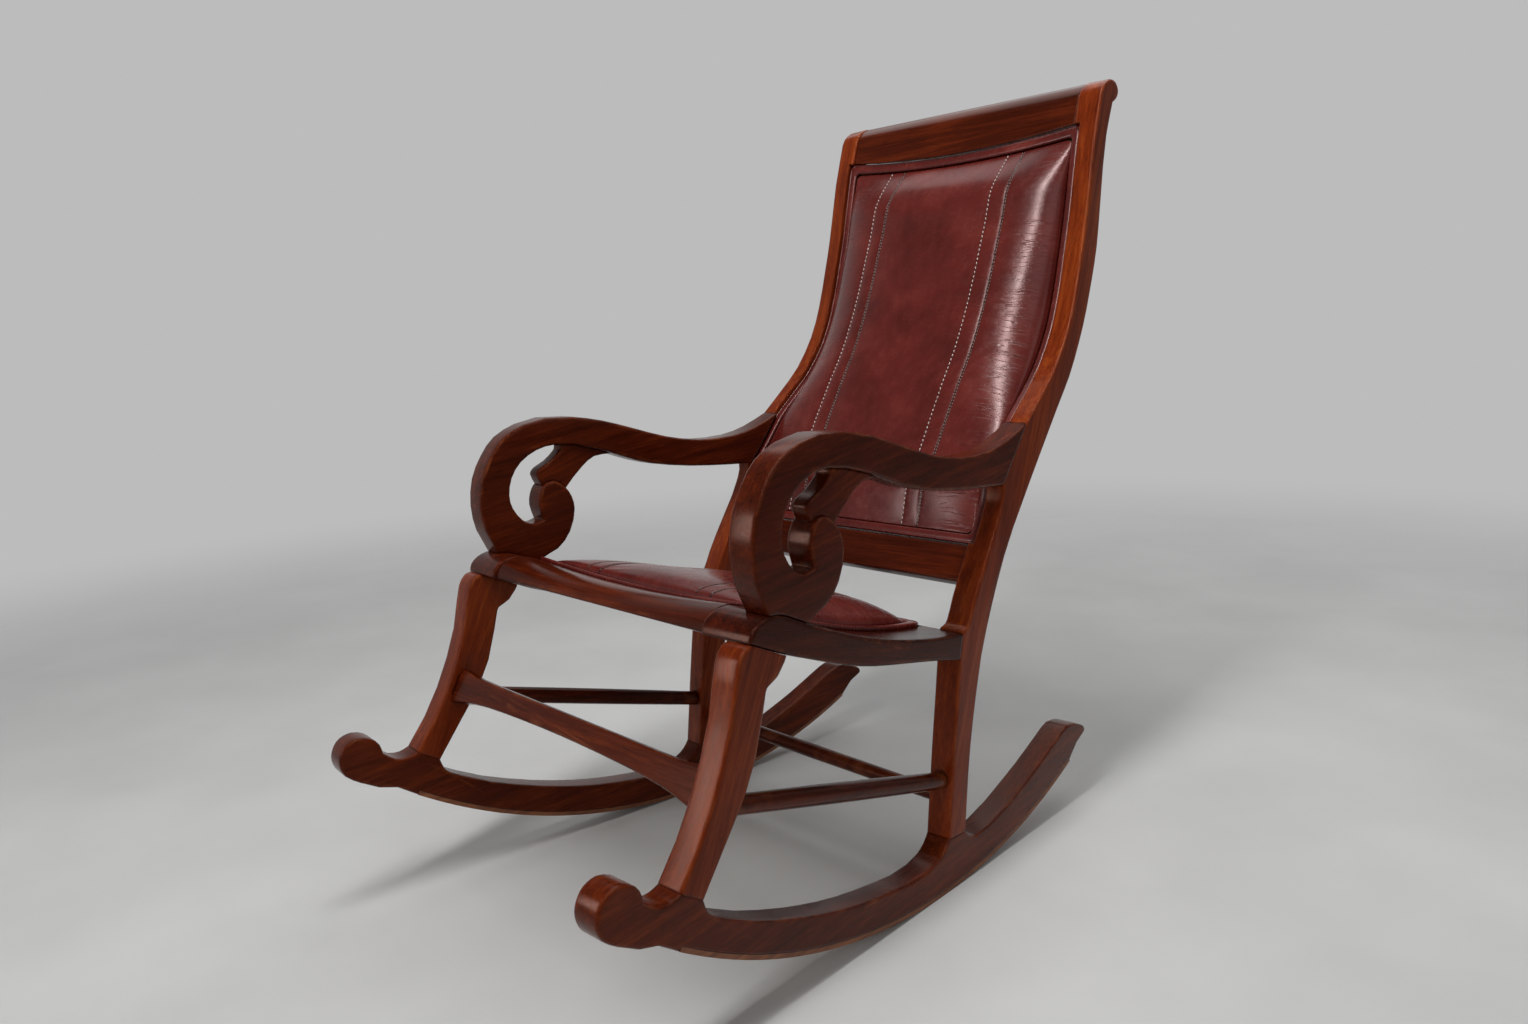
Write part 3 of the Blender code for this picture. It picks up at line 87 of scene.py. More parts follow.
def addMath(tree, operation, *terms):
    return addNode(tree, "ShaderNodeMath", dict(enumerate(terms)), operation=operation).outputs[0]


def addRamp(tree, value, *stops):
    node = addNode(tree, "ShaderNodeValToRGB", {"Fac": value})
    elements = node.color_ramp.elements
    while len(elements) < len(stops):
        elements.new(1)
    for element, (place, colour) in zip(elements, stops):
        element.position = place
        element.color = fromHex(colour)
    return node.outputs["Color"]


def mixValue(tree, share, first, second):
    return addNode(tree, "ShaderNodeMix", {0: share, 2: first, 3: second}, data_type="FLOAT").outputs[0]


def mixColour(tree, share, first, second):
    return addNode(tree, "ShaderNodeMix", {0: share, 6: first, 7: second}, data_type="RGBA").outputs[2]


def addAttribute(tree, name, output):
    return addNode(tree, "ShaderNodeAttribute", attribute_name=name).outputs[output]


def addSurface(tree, inputs):
    shader = addNode(tree, "ShaderNodeBsdfPrincipled", inputs)
    addNode(tree, "ShaderNodeOutputMaterial", {"Surface": shader.outputs["BSDF"]})


def newMaterial(name):
    material = bpy.data.materials.new(name)
    material.use_nodes = True
    tree = material.node_tree
    tree.nodes.clear()
    return material, tree


def addObject(name, data):
    thing = bpy.data.objects.new(name, data)
    scene.collection.objects.link(thing)
    return thing


def addPiece(name, mesh, material, slot, *nodes):
    piece = addObject(name, mesh)
    mesh.materials.clear()
    mesh.materials.append(material)
    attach(piece, "root")
    if nodes:
        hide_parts(*nodes)
    return piece


def smoothMesh(bm, name):
    # a mesh of smooth faces that look outwards
    bmesh.ops.recalc_face_normals(bm, faces=bm.faces)
    for face in bm.faces:
        face.smooth = True
    mesh = bpy.data.meshes.new(name)
    bm.to_mesh(mesh)
    bm.free()
    return mesh


def takeMesh(thing):
    # the mesh that an object's modifiers make; the object goes
    graph = bpy.context.evaluated_depsgraph_get()
    mesh = bpy.data.meshes.new_from_object(thing.evaluated_get(graph))
    bpy.data.objects.remove(thing)
    return mesh


def coverGrid(bm, grid):
    # faces over rows of points
    for a, b in zip(grid, grid[1:]):
        for j in range(len(a) - 1):
            bm.faces.new((a[j], a[j + 1], b[j + 1], b[j]))


def borderOf(grid):
    # the points round the outside of a grid, in order
    middle = grid[1:-1]
    return grid[0] + [row[-1] for row in middle] + grid[-1][::-1] + [row[0] for row in reversed(middle)]


def joinLoops(bm, a, b):
    # faces between two closed loops of points
    for k in range(len(a)):
        m = (k + 1) % len(a)
        bm.faces.new((a[k], a[m], b[m], b[k]))


# the photograph's view
cameraSet = {
    "place": (1.0923, -1.0036, 0.7450),
    "turn": (79.927, 3.016, 46.835),
    "lens": 26.0126, "sensor": 36, "clipEnd": 60,
}
cameraData = bpy.data.cameras.new("photoCamera")
cameraData.sensor_width = cameraSet["sensor"]
cameraData.lens = cameraSet["lens"]
cameraData.clip_end = cameraSet["clipEnd"]
photoCamera = addObject("photoCamera", cameraData)
photoCamera.location = cameraSet["place"]
photoCamera.rotation_euler = [math.radians(a) for a in cameraSet["turn"]]
scene.camera = photoCamera

studio = {
    "floorDark": "#bdbdbc", "floorPale": "#c7c7c6", "backdrop": "#bcbcbc",
    "cloud": 0.35,                  # size of the cloudiness in the paint, m
    "floorRadius": 6, "floorSides": 64,
    "sunk": 0.0004,                 # the floor lies this far under the rockers
    "fade": (1.2, 3.6),             # the floor melts into the backdrop between these distances, m
    "ceiling": 0.12,                # how bright the dim ceiling is
    # a direction, the span of closeness to it, and the share of the backdrop's paleness over that span
    "walls": (
        ((-0.73, 0.68, 0), (0.30, 0.66), (0.50, 1)),    # the backdrop, twice as pale as the other walls
        ((0.73, 0.68, 0), (0.50, 0.85), (1, 0.30)),     # a dusky corner, which the wood's near side mirrors
        ((0, 0, 1), (0.34, 0.64), (1, 0)),              # the ceiling
    ),
    # name, place, looks at, width, height, watts
    "lamps": (
        ("highStrip", (0.322, -0.827, 2.686), (0.102, 0.533, 0.936), 0.30, 2.3, 51),
        ("lowFront", (-1.18, -2.09, 0.96), (0.1, 0.0, 0.55), 0.30, 0.9, 7),
        ("rightFront", (2.4, -1.5, 2.2), (0.0, 0.0, 0.5), 1.7, 1.7, 8),
        ("rightEdge", (2.6, 1.0, 1.7), (0.1, 0.1, 0.6), 1.4, 1.8, 5),
        ("overheadBack", (0.3, 0.9, 2.9), (0.0, 0.1, 0.0), 1.8, 1.8, 18),
        ("backWash", (-1.3, 1.7, 2.9), (-1.4, 1.5, 0.0), 2.4, 2.4, 20),
    ),
}
noiseSpan = (0.3, 0.7)              # most of a noise texture lies between these


def makePaint():
    # rolled matt paint: plain, with a very faint cloudiness, gone into the backdrop far from the chair
    material, tree = newMaterial("paintedConcrete")
    spot = addNode(tree, "ShaderNodeTexCoord").outputs["Object"]
    cloud = addNode(tree, "ShaderNodeTexNoise", {"Vector": spot, "Scale": 1 / studio["cloud"], "Detail": 4})
    tint = addRamp(tree, cloud.outputs["Fac"], *zip(noiseSpan, (studio["floorDark"], studio["floorPale"])))
    paint = addNode(tree, "ShaderNodeBsdfPrincipled",
                    {"Base Color": tint, "Roughness": 0.85, "Specular IOR Level": 0.2})
    away = addNode(tree, "ShaderNodeVectorMath", {0: spot}, operation="LENGTH")
    gone = addRange(tree, away.outputs["Value"], studio["fade"], (0, 1), smooth=True)
    nothing = addNode(tree, "ShaderNodeBsdfTransparent")
    melted = addNode(tree, "ShaderNodeMixShader", {0: gone, 1: paint.outputs["BSDF"], 2: nothing.outputs[0]})
    addNode(tree, "ShaderNodeOutputMaterial", {"Surface": melted.outputs[0]})
    return material


def layFloor():
    mesh = bpy.data.meshes.new("floor")
    bm = bmesh.new()
    bmesh.ops.create_circle(bm, cap_ends=True, segments=studio["floorSides"], radius=studio["floorRadius"])
    bmesh.ops.translate(bm, verts=bm.verts, vec=(0, 0, -studio["sunk"]))
    bm.to_mesh(mesh)
    bm.free()
    mesh.materials.append(makePaint())
    addObject("floor", mesh)


def lightWorld():
    # pale walls, the palest behind the chair, under a dim ceiling
    world = bpy.data.worlds.new("studio")
    scene.world = world
    world.use_nodes = True
    tree = world.node_tree
    tree.nodes.clear()
    ray = addNode(tree, "ShaderNodeTexCoord").outputs["Generated"]
    wall = 1
    for direction, closeness, shares in studio["walls"]:
        toward = addNode(tree, "ShaderNodeVectorMath", {0: ray, 1: direction}, operation="DOT_PRODUCT")
        share = addRange(tree, toward.outputs["Value"], closeness, shares, smooth=True)
        wall = addMath(tree, "MULTIPLY", wall, share)
    dim = addNode(tree, "ShaderNodeBackground", {"Color": (1, 1, 1, 1), "Strength": studio["ceiling"]})
    pale = addNode(tree, "ShaderNodeBackground", {"Color": fromHex(studio["backdrop"]), "Strength": 1})
    both = addNode(tree, "ShaderNodeMixShader", {0: wall, 1: dim.outputs[0], 2: pale.outputs[0]})
    addNode(tree, "ShaderNodeOutputWorld", {"Surface": both.outputs[0]})


layFloor()
lightWorld()
for name, place, target, width, height, watts in studio["lamps"]:
    lampData = bpy.data.lights.new(name, "AREA")
    lampData.shape = "RECTANGLE"
    lampData.size = width
    lampData.size_y = height
    lampData.energy = watts
    lamp = addObject(name, lampData)
    lamp.location = place
    lamp.rotation_euler = (Vector(target) - Vector(place)).to_track_quat("-Z", "Y").to_euler()
print("studio: camera, floor, %d lamps" % len(studio["lamps"]))

mahoganySet = {
    # length and width of a mark in m, detail, twist
    "streak": (0.300, 0.0120, 4, 0.5),
    "fleck": (0.070, 0.0032, 3, 0.3),
    "pore": (0.016, 0.0013, 1, 0),  # real pores are 0.3 mm wide, drawn coarser so that they show
    "fleckShare": 0.36,
    "stain": 0.16,                  # size of the clouds in the stain
    "stainShift": (-0.07, 0.07),
    "darkBoard": ((0.28, "#1a0502"), (0.50, "#310c04"), (0.74, "#4f1707")),
    "paleBoard": ((0.28, "#511907"), (0.50, "#732a0c"), (0.74, "#964315")),
    "poreFrom": (0.36, 0.44), "poreShare": (0.28, 0), "poreColour": "#140503",
    "rub": 0.03, "rubFrom": (0.45, 0.66), "rubShare": (0, 0.35), "worn": "#8a4a28",
    "gloss": (0.17, 0.26), "sheen": "#ffbaa0",
    "round": 0.0045,                # how softly an edge catches the light
}


def makeMahogany():
    # mahogany, sawn and stained, under rubbed lacquer: ribbon streaks, short dark pores, soft gloss
    made = mahoganySet
    material, tree = newMaterial("lacqueredMahogany")
    board = addAttribute(tree, "grain", "Vector")
    layers = {}
    for key in ("streak", "fleck", "pore"):
        long, wide, detail, twist = made[key]
        scaled = addNode(tree, "ShaderNodeMapping",
                         {"Vector": board, "Scale": (1 / long, 1 / wide, 1 / wide)})
        marks = addNode(tree, "ShaderNodeTexNoise",
                        {"Vector": scaled.outputs["Vector"], "Scale": 1, "Detail": detail,
                         "Roughness": 0.55, "Distortion": twist})
        layers[key] = marks.outputs["Fac"]
    figure = mixValue(tree, made["fleckShare"], layers["streak"], layers["fleck"])
    clouds = addNode(tree, "ShaderNodeTexNoise", {"Vector": board, "Scale": 1 / made["stain"], "Detail": 2})
    cloudy = addRange(tree, clouds.outputs["Fac"], noiseSpan, made["stainShift"])
    shade = addMath(tree, "ADD", figure, cloudy)
    dark = addRamp(tree, shade, *made["darkBoard"])
    pale = addRamp(tree, shade, *made["paleBoard"])
    stained = mixColour(tree, addAttribute(tree, "tone", "Fac"), dark, pale)
    pores = addRange(tree, layers["pore"], made["poreFrom"], made["poreShare"])
    pored = mixColour(tree, pores, stained, fromHex(made["poreColour"]))
    spot = addNode(tree, "ShaderNodeTexCoord").outputs["Object"]
    rubs = addNode(tree, "ShaderNodeTexNoise", {"Vector": spot, "Scale": 1 / made["rub"], "Detail": 5})
    rubbed = addRange(tree, rubs.outputs["Fac"], made["rubFrom"], made["rubShare"])
    edge = addMath(tree, "MULTIPLY", addAttribute(tree, "wear", "Fac"), rubbed)
    colour = mixColour(tree, edge, pored, fromHex(made["worn"]))
    gloss = addRange(tree, layers["fleck"], noiseSpan, made["gloss"])
    eased = addNode(tree, "ShaderNodeBevel", {"Radius": made["round"]}, samples=6)
    dents = addNode(tree, "ShaderNodeBump", {"Height": layers["pore"], "Normal": eased.outputs["Normal"],
                                             "Strength": 0.03, "Distance": 0.0004})
    addSurface(tree, {"Base Color": colour, "Roughness": gloss, "Normal": dents.outputs["Normal"],
                      "IOR": 1.5, "Specular IOR Level": 0.25, "Specular Tint": fromHex(made["sheen"])})
    return material


plainSet = {"uneven": 0.08}         # how much the roughness differs between streaks


def makePlainWood(name, darkHex, lightHex, streak, roughness):
    # unlacquered secondary timber: soft straight streaks and a dry, dull face
    uneven = plainSet["uneven"]
    material, tree = newMaterial(name)
    spot = addNode(tree, "ShaderNodeTexCoord").outputs["Object"]
    scaled = addNode(tree, "ShaderNodeMapping", {"Vector": spot, "Scale": tuple(1 / s for s in streak)})
    grain = addNode(tree, "ShaderNodeTexNoise", {"Vector": scaled.outputs["Vector"], "Scale": 1,
                                                 "Detail": 5, "Roughness": 0.6}).outputs["Fac"]
    colour = addRamp(tree, grain, *zip(noiseSpan, (darkHex, lightHex)))
    rough = addRange(tree, grain, (0, 1), (roughness + uneven, roughness - uneven))
    dents = addNode(tree, "ShaderNodeBump", {"Height": grain, "Strength": 0.15, "Distance": 0.0005})
    addSurface(tree, {"Base Color": colour, "Roughness": rough, "Normal": dents.outputs["Normal"]})
    return material


mahogany = makeMahogany()
treadWood = makePlainWood("wornTreadWood", "#5a2d17", "#8d5530", (0.006, 0.12, 0.006), 0.6)
beech = makePlainWood("beech", "#b98a5c", "#d9b486", (0.02, 0.02, 0.004), 0.6)
stainedBeech = makePlainWood("stainedBeech", "#1e0b06", "#371509", (0.02, 0.02, 0.004), 0.6)
plywood = makePlainWood("birchPlywood", "#b99768", "#dcc197", (0.008, 0.12, 0.003), 0.65)

# grain direction and how pale each board is
boards = {
    "rocker": ((0, 1, 0.06), 0.22),
    "front_leg": ((0, 0.42, 0.90), 0.70),
    "rear_post": ((0, 0.34, 0.94), 0.92),
    "arm": ((0, 1, 0.12), 0.22),
    "arm_brace": ((0, 1, 0.35), 0.25),
    "seat_side_rail": ((0, 1, -0.25), 0.06),
    "side_stretcher": ((0, 1, -0.2), 0.06),
    "crest_rail": ((1, 0, 0.02), 0.15),
    "lower_back_rail": ((1, 0, 0.02), 0.12),
    "seat_front_rail": ((1, 0, 0.01), 0.12),
    "seat_rear_rail": ((1, 0, 0.02), 0.20),
    "front_stretcher": ((1, 0, 0.03), 0.25),
    "rear_stretcher": ((1, 0, 0), 0.12),
}
boardSet = {
    "merge": 1e-5,
    "sharp": math.radians(38),      # an edge that turns more than this stays crisp
    "narrow": 0.0045,               # faces slimmer than this are eased edges, which get rubbed
    "log": (9, 3, 3),               # each board is cut from its own place in a log of this size, m
    "uneven": 0.04,                 # how much the stain differs from board to board
}


def dressBoard(name, axis, tone):
    # a merged copy of the CAD board, smooth over its curves, that knows its own grain and its rubbed edges
    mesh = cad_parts[name].data.copy()
    bm = bmesh.new()
    bm.from_mesh(mesh)
    bmesh.ops.remove_doubles(bm, verts=bm.verts, dist=boardSet["merge"])
    for face in bm.faces:
        face.smooth = True
    for rim in bm.edges:
        rim.smooth = not rim.is_manifold or rim.calc_face_angle(0) < boardSet["sharp"]
    narrow = {}
    for face in bm.faces:
        longest = max(rim.calc_length() for rim in face.edges)
        narrow[face.index] = 2 * face.calc_area() / longest < boardSet["narrow"]
    rubbedAt = [1.0 if all(narrow[f.index] for f in v.link_faces) else 0.0 for v in bm.verts]
    bm.to_mesh(mesh)
    bm.free()
    along = Vector(axis).normalized()
    across = Vector((1, 0, 0)) if abs(along.x) < 0.5 else Vector((0, 1, 0))
    side = along.cross(across).normalized()
    across = side.cross(along)
    dice = random.Random(name)
    shift = Vector([dice.uniform(0, size) for size in boardSet["log"]])
    places = []
    for v in mesh.vertices:
        places += [v.co.dot(way) + far for way, far in zip((along, side, across), shift)]
    tones = [tone + dice.uniform(-boardSet["uneven"], boardSet["uneven"])] * len(mesh.vertices)
    mesh.attributes.new("grain", "FLOAT_VECTOR", "POINT").data.foreach_set("vector", places)
    mesh.attributes.new("wear", "FLOAT", "POINT").data.foreach_set("value", rubbedAt)
    mesh.attributes.new("tone", "FLOAT", "POINT").data.foreach_set("value", tones)
    board = addObject(name + ".board", mesh)
    even = board.modifiers.new("even", "WEIGHTED_NORMAL")
    even.keep_sharp = True
    even.mode = "FACE_AREA_WITH_ANGLE"
    addPiece(name + ".board", takeMesh(board), mahogany, "mahogany", name)


blockSet = {"planed": 0.0075}       # taken off the underside of the 12 mm front corner blocks


def planeBlock(name):
    # a corner block planed thin enough for the dipped front rail to hide it
    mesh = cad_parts[name].data.copy()
    heights = [v.co.dot(chairUp) for v in mesh.vertices]
    middle = (min(heights) + max(heights)) / 2
    for v, height in zip(mesh.vertices, heights):
        if height < middle:
            v.co += chairUp * blockSet["planed"]
    addPiece(name + ".planed", mesh, stainedBeech, "beech", name)


for key, (axis, tone) in boards.items():
    names = [key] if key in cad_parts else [key + "_left", key + "_right"]
    for name in names:
        dressBoard(name, axis, tone)
finishes = {
    "rocker_tread": treadWood,
    "seat_panel": plywood,
    "dowel": beech,
    "corner_block_back": stainedBeech,
}
for name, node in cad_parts.items():
    for key, finish in finishes.items():
        if key in name:
            node.data.materials.clear()
            node.data.materials.append(finish)
for side in ("left", "right"):
    planeBlock("corner_block_front_" + side)

leatherSet = {
    "mottle": 0.11, "scuff": 0.014, "scuffShare": 0.16,
    "pebble": 0.0030,               # hide pores are about 1 mm apart, drawn coarser so that they show
    "crease": (0.050, 0.0040),      # length and spacing of the fine folds across the hide
    "creaseTurn": (0, 0, 0.12),
    # creaseShade: how much darker a fold's line is painted, as shade in the fold
    "creaseWidth": 0.035, "creaseShade": 0.35,
    "creasePatch": ((0.36, 0.56), (0.1, 1)),
    # groove: the colour painted as shade in the folds, the seam grooves and the welt's groove and tuck
    "deep": (0.32, "#42110d"), "mid": (0.52, "#561a15"), "rubbed": (0.74, "#6b2a23"), "groove": "#150403",
    "gloss": (0.20, 0.31), "sheen": "#ffe2df",
}


def makeLeather(name, paler):
    # oxblood cowhide, aniline dyed and waxed: cloudy red-brown, fine pebble, folds across, soft shine;
    # painted shade in the folds and along the seams
    made = leatherSet
    groove = fromHex(made["groove"])
    material, tree = newMaterial(name)
    hide = addAttribute(tree, "hide", "Vector")
    mottle = addNode(tree, "ShaderNodeTexNoise", {"Vector": hide, "Scale": 1 / made["mottle"], "Detail": 4,
                                                  "Roughness": 0.6}).outputs["Fac"]
    scuff = addNode(tree, "ShaderNodeTexNoise", {"Vector": hide, "Scale": 1 / made["scuff"], "Detail": 5,
                                                 "Roughness": 0.65}).outputs["Fac"]
    cloud = mixValue(tree, made["scuffShare"], mottle, scuff)
    palest, rubbed = made["rubbed"]
    dyed = addRamp(tree, cloud, made["deep"], made["mid"], (palest - paler, rubbed))
    pebble = addNode(tree, "ShaderNodeTexVoronoi",
                     {"Vector": hide, "Scale": 1 / made["pebble"], "Randomness": 1}, feature="SMOOTH_F1")
    long, wide = made["crease"]
    folded = addNode(tree, "ShaderNodeMapping", {"Vector": hide, "Scale": (1 / long, 1 / wide, 1 / wide),
                                                 "Rotation": made["creaseTurn"]})
    folds = addNode(tree, "ShaderNodeTexNoise",
                    {"Vector": folded.outputs["Vector"], "Scale": 0.5, "Detail": 2, "Distortion": 0.25})
    # a fold runs where the noise crosses its middle, and its line is painted darker as shade
    ridge = addMath(tree, "SUBTRACT", folds.outputs["Fac"], 0.5)
    line = addRange(tree, addMath(tree, "ABSOLUTE", ridge), (0, made["creaseWidth"]), (1, 0))
    patch = addRange(tree, mottle, *made["creasePatch"])
    worked = addMath(tree, "MULTIPLY", patch, addAttribute(tree, "bent", "Fac"))
    crease = addMath(tree, "MULTIPLY", line, worked)
    # the folds' lines painted darker, as shade
    creaseShaded = mixColour(tree, addMath(tree, "MULTIPLY", crease, made["creaseShade"]), dyed, groove)
    # painted shade along the seams and in the welt's groove and tuck
    colour = mixColour(tree, addAttribute(tree, "seam", "Fac"), creaseShaded, groove)
    gloss = addRange(tree, scuff, noiseSpan, made["gloss"])
    grainBump = addNode(tree, "ShaderNodeBump", {"Height": pebble.outputs["Distance"], "Strength": 0.035,
                                                 "Distance": 0.0006}, invert=True)
    foldBump = addNode(tree, "ShaderNodeBump", {"Height": crease, "Normal": grainBump.outputs["Normal"],
                                                "Strength": 0.30, "Distance": 0.0012}, invert=True)
    addSurface(tree, {"Base Color": colour, "Roughness": gloss, "Normal": foldBump.outputs["Normal"],
                      "IOR": 1.48, "Specular IOR Level": 0.55, "Specular Tint": fromHex(made["sheen"])})
    return material


# how large the weave of each fabric is drawn, as the size of its texture in m
fabricSet = {"threadTwist": 0.006, "cottonYarn": 0.012, "juteStrand": 0.006}


def makeThread(name, dark, light):
    # three-ply thread: its twist shows as fine slanting bands
    material, tree = newMaterial(name)
    spot = addNode(tree, "ShaderNodeTexCoord").outputs["Object"]
    twist = addNode(tree, "ShaderNodeTexWave",
                    {"Vector": spot, "Scale": 1 / fabricSet["threadTwist"], "Distortion": 0.5},
                    bands_direction="DIAGONAL")
    ply = addRamp(tree, twist.outputs["Fac"], (0.2, dark), (0.8, light))
    addSurface(tree, {"Base Color": ply, "Roughness": 0.5})
    return material


leather = makeLeather("oxbloodLeather", 0.0)
weltLeather = makeLeather("oxbloodWeltLeather", 0.06)
threads = {
    "waxed": makeThread("waxedPolyesterThread", "#98857e", "#cfc0b9"),
    "brown": makeThread("brownPolyesterThread", "#5d4842", "#a8958e"),
    "dark": makeThread("darkPolyesterThread", "#2a1512", "#5c443d"),
}

# where the two pads lie: across x, along v, out h
seatSet = {
    "low": (0.158, 0.3415), "dish": 0.59, "railShow": 0.062, "front": -0.186, "back": 0.126,
    "dip": 0.009, "dipLong": 0.100, "railWidth": 0.074,     # the front edge dips in the middle
    "bed": -0.0034, "lip": 0.004, "weltTop": 0.005, "rows": 60, "power": 4,
    "crown": 0.034, "fuller": 0.2,                          # fuller at the back than in front
    "start": 0.95, "swell": 0.0030, "fill": 0.8,
}
backSet = {
    # y and z of the S curve that the posts follow
    "waist": ((0.1340, 0.3450), (0.1470, 0.3520), (0.1590, 0.3810), (0.1725, 0.4090), (0.1885, 0.4390),
              (0.2060, 0.4720), (0.2170, 0.4985), (0.2205, 0.5120), (0.2195, 0.5245)),
    "rest": ((0.2735, 0.6045), (0.3085, 0.6395), (0.3460, 0.6800), (0.3765, 0.7315), (0.3940, 0.7830),
             (0.4070, 0.8440), (0.4170, 0.8970), (0.4300, 0.9900), (0.4365, 1.0210)),
    "turnOver": 0.02, "easeOver": 0.012,                    # lengths that smooth its direction and place
    # how far the middle rises, by height on the posts: the leather bridges their hollow
    "crown": ((0.445, 0.0110), (0.500, 0.0120), (0.545, 0.0070), (0.603, 0.0155), (0.644, 0.0335),
              (0.675, 0.0440), (0.725, 0.0520), (0.778, 0.0525), (0.859, 0.0455), (0.910, 0.0405),
              (1.021, 0.0350)),
    "round": (0.060, 0.080), "roundPower": 1.2,
    "from": 0.4455, "to": 1.021, "crestDrop": 0.013, "crestGap": 0.0005, "postShow": 0.0255,
    "widthOver": 0.02,                                      # the width is the least over this depth
    "bed": -0.013, "lip": -0.007, "weltTop": -0.003, "rows": 112, "power": 3.2,
    "start": 0.99, "swell": 0.0010, "fill": 0.7,
}


def smoothRun(keys, steps=8):
    # points on a smooth curve through all the keys
    keys = [Vector(k) for k in keys]
    ends = [2 * keys[0] - keys[1]] + keys + [2 * keys[-1] - keys[-2]]
    run = [keys[0]]
    for a, b, c, d in zip(ends, ends[1:], ends[2:], ends[3:]):
        for i in range(1, steps + 1):
            t = i / steps
            run.append(0.5 * (2 * b + (c - a) * t + (2 * a - 5 * b + 4 * c - d) * t * t
                              + (3 * (b - c) + d - a) * t ** 3))
    return run


spine = smoothRun(backSet["waist"]) + smoothRun(backSet["rest"])
reach = [0.0]
for a, b in zip(spine, spine[1:]):
    reach.append(reach[-1] + (b - a).length)


def spineAt(s):
    # the point at length s along the S curve
    for i in range(len(spine) - 1):
        if s <= reach[i + 1] or i == len(spine) - 2:
            return spine[i].lerp(spine[i + 1], (s - reach[i]) / (reach[i + 1] - reach[i]))


def spineFrame(s):
    # the place on the S curve and the direction out of the back
    turn, ease = backSet["turnOver"], backSet["easeOver"]
    along = (spineAt(s + turn) - spineAt(s - turn)).normalized()
    return (spineAt(s - ease) + spineAt(s) + spineAt(s + ease)) / 3, Vector((-along.y, along.x))


def spineReach(z):
    # the length along the S curve at height z
    for i in range(len(spine) - 1):
        if spine[i].y <= z <= spine[i + 1].y:
            return reach[i] + (reach[i + 1] - reach[i]) * (z - spine[i].y) / (spine[i + 1].y - spine[i].y)
    return reach[-1]


backStart = spineReach(backSet["from"]) + 3 * chair["clear"]
backEnd = spineReach(backSet["to"]) - 2 * chair["clear"]


def inside(y, depth):
    # half the chair's width at y, less a depth measured square to the side frame
    half = chair["frontWidth"] / 2 - math.tan(chair["toeIn"]) * (y - chair["legLine"])
    return half - depth / math.cos(chair["toeIn"])


def seatHalf(y):
    return inside(y, seatSet["railShow"]) - chair["clear"]


def backWidth(s, depth):
    y = spineFrame(s)[0].x
    return min(inside(y + backSet["widthOver"], depth), inside(y, depth)) - chair["clear"]


def backHalf(s):
    return backWidth(s, backSet["postShow"])


def seatPlace(x, y, h):
    z = seatSet["low"][1] + seatSet["dish"] * (y - seatSet["low"][0]) ** 2
    across = max(1 - (x / inside(y, seatSet["railWidth"])) ** 2, 0)
    along = min(max(1 - (y - seatSet["front"]) / seatSet["dipLong"], 0), 1)
    return toWorld @ Vector((x, y, z - seatSet["dip"] * across * along ** 2 + h))


def backPlace(x, s, h):
    # the top of the back follows the crest, so its rows slide down towards the middle
    share = (s - backStart) / (backEnd - backStart)
    slid = s - share * backSet["crestDrop"] * max(1 - (x / backHalf(s)) ** 2, 0)
    centre, out = spineFrame(slid)
    spot = centre + out * h
    return toWorld @ Vector((x, spot.x, spot.y))


# sewn lines: of each pair, the one towards the sitter's left is double-stitched
seams = {
    "lines": ((-0.126, "top"), (-0.099, "double"), (0.099, "top"), (0.126, "double")),
    # the grooves along the seams are painted dark as shade: the last number of top and double says how dark,
    # and shade sets the width of that painted line
    "top": (0.0007, 0.0030, 0.30),          # depth, half width, how dark
    "double": (0.0012, 0.0030, 0.92),
    "shade": 0.55,                          # the dark line's width as a share of the groove's
    "fade": 1.4,                            # how fast a groove deepens from the pad's ends
    "onLine": 1e-6,                         # a column this near a line is sewn down
}
padSet = {
    "corner": 0.010, "endPower": 3.2,
    "crowd": 0.72,                          # how far the rows crowd towards the ends
    "bent": (0.030, 0.024),                 # the folds lie this far from the sides, over this width
    "footWidth": 0.994, "footHide": 0.004,  # the foot is a little narrower, and its hide goes on downwards
    # columns: an even middle, close ones at each seam, some between the seams, then closer to the side
    "middle": (0.0058, 16),
    "seam": (-0.0062, -0.0038, -0.0018, 0, 0.0018, 0.0038, 0.0062),
    "between": (0.1090, 0.1125, 0.1160),
    "side": (0.10, 0.20, 0.30, 0.40, 0.50, 0.60, 0.70, 0.79, 0.87, 0.93, 0.97, 0.99, 1),
}


def bulge(q, power):
    # 1 in the middle, falling to 0 at the edge
    return math.sqrt(max(1 - min(abs(q), 1) ** power, 0))


def seatCrown(y, v0, v1):
    share = 2 * (y - v0) / (v1 - v0) - 1
    return seatSet["crown"] * (1 + seatSet["fuller"] * share) * bulge(share, padSet["endPower"])


crownRun = smoothRun([(spineReach(z), height) for z, height in backSet["crown"]])


def backCrown(s, v0, v1):
    height = crownRun[-1].y
    for a, b in zip(crownRun, crownRun[1:]):
        if a.x <= s <= b.x:
            height = a.y + (b.y - a.y) * (s - a.x) / (b.x - a.x)
    for reached, length in zip((s - v0, v1 - s), backSet["round"]):
        height *= math.sin(math.pi / 2 * min(max(reached / length, 0), 1)) ** backSet["roundPower"]
    return height


def padColumns(w):
    # where the points of a row lie, from side to side of a pad of half width w
    step, count = padSet["middle"]
    half = [step * i for i in range(count)]
    for at, _ in seams["lines"]:
        if at > 0:
            half += [at + d for d in padSet["seam"]]
    half = sorted(half + list(padSet["between"]))
    last = half[-1]
    half += [last + (w - last) * t for t in padSet["side"]]
    return [-x for x in reversed(half[1:])] + half


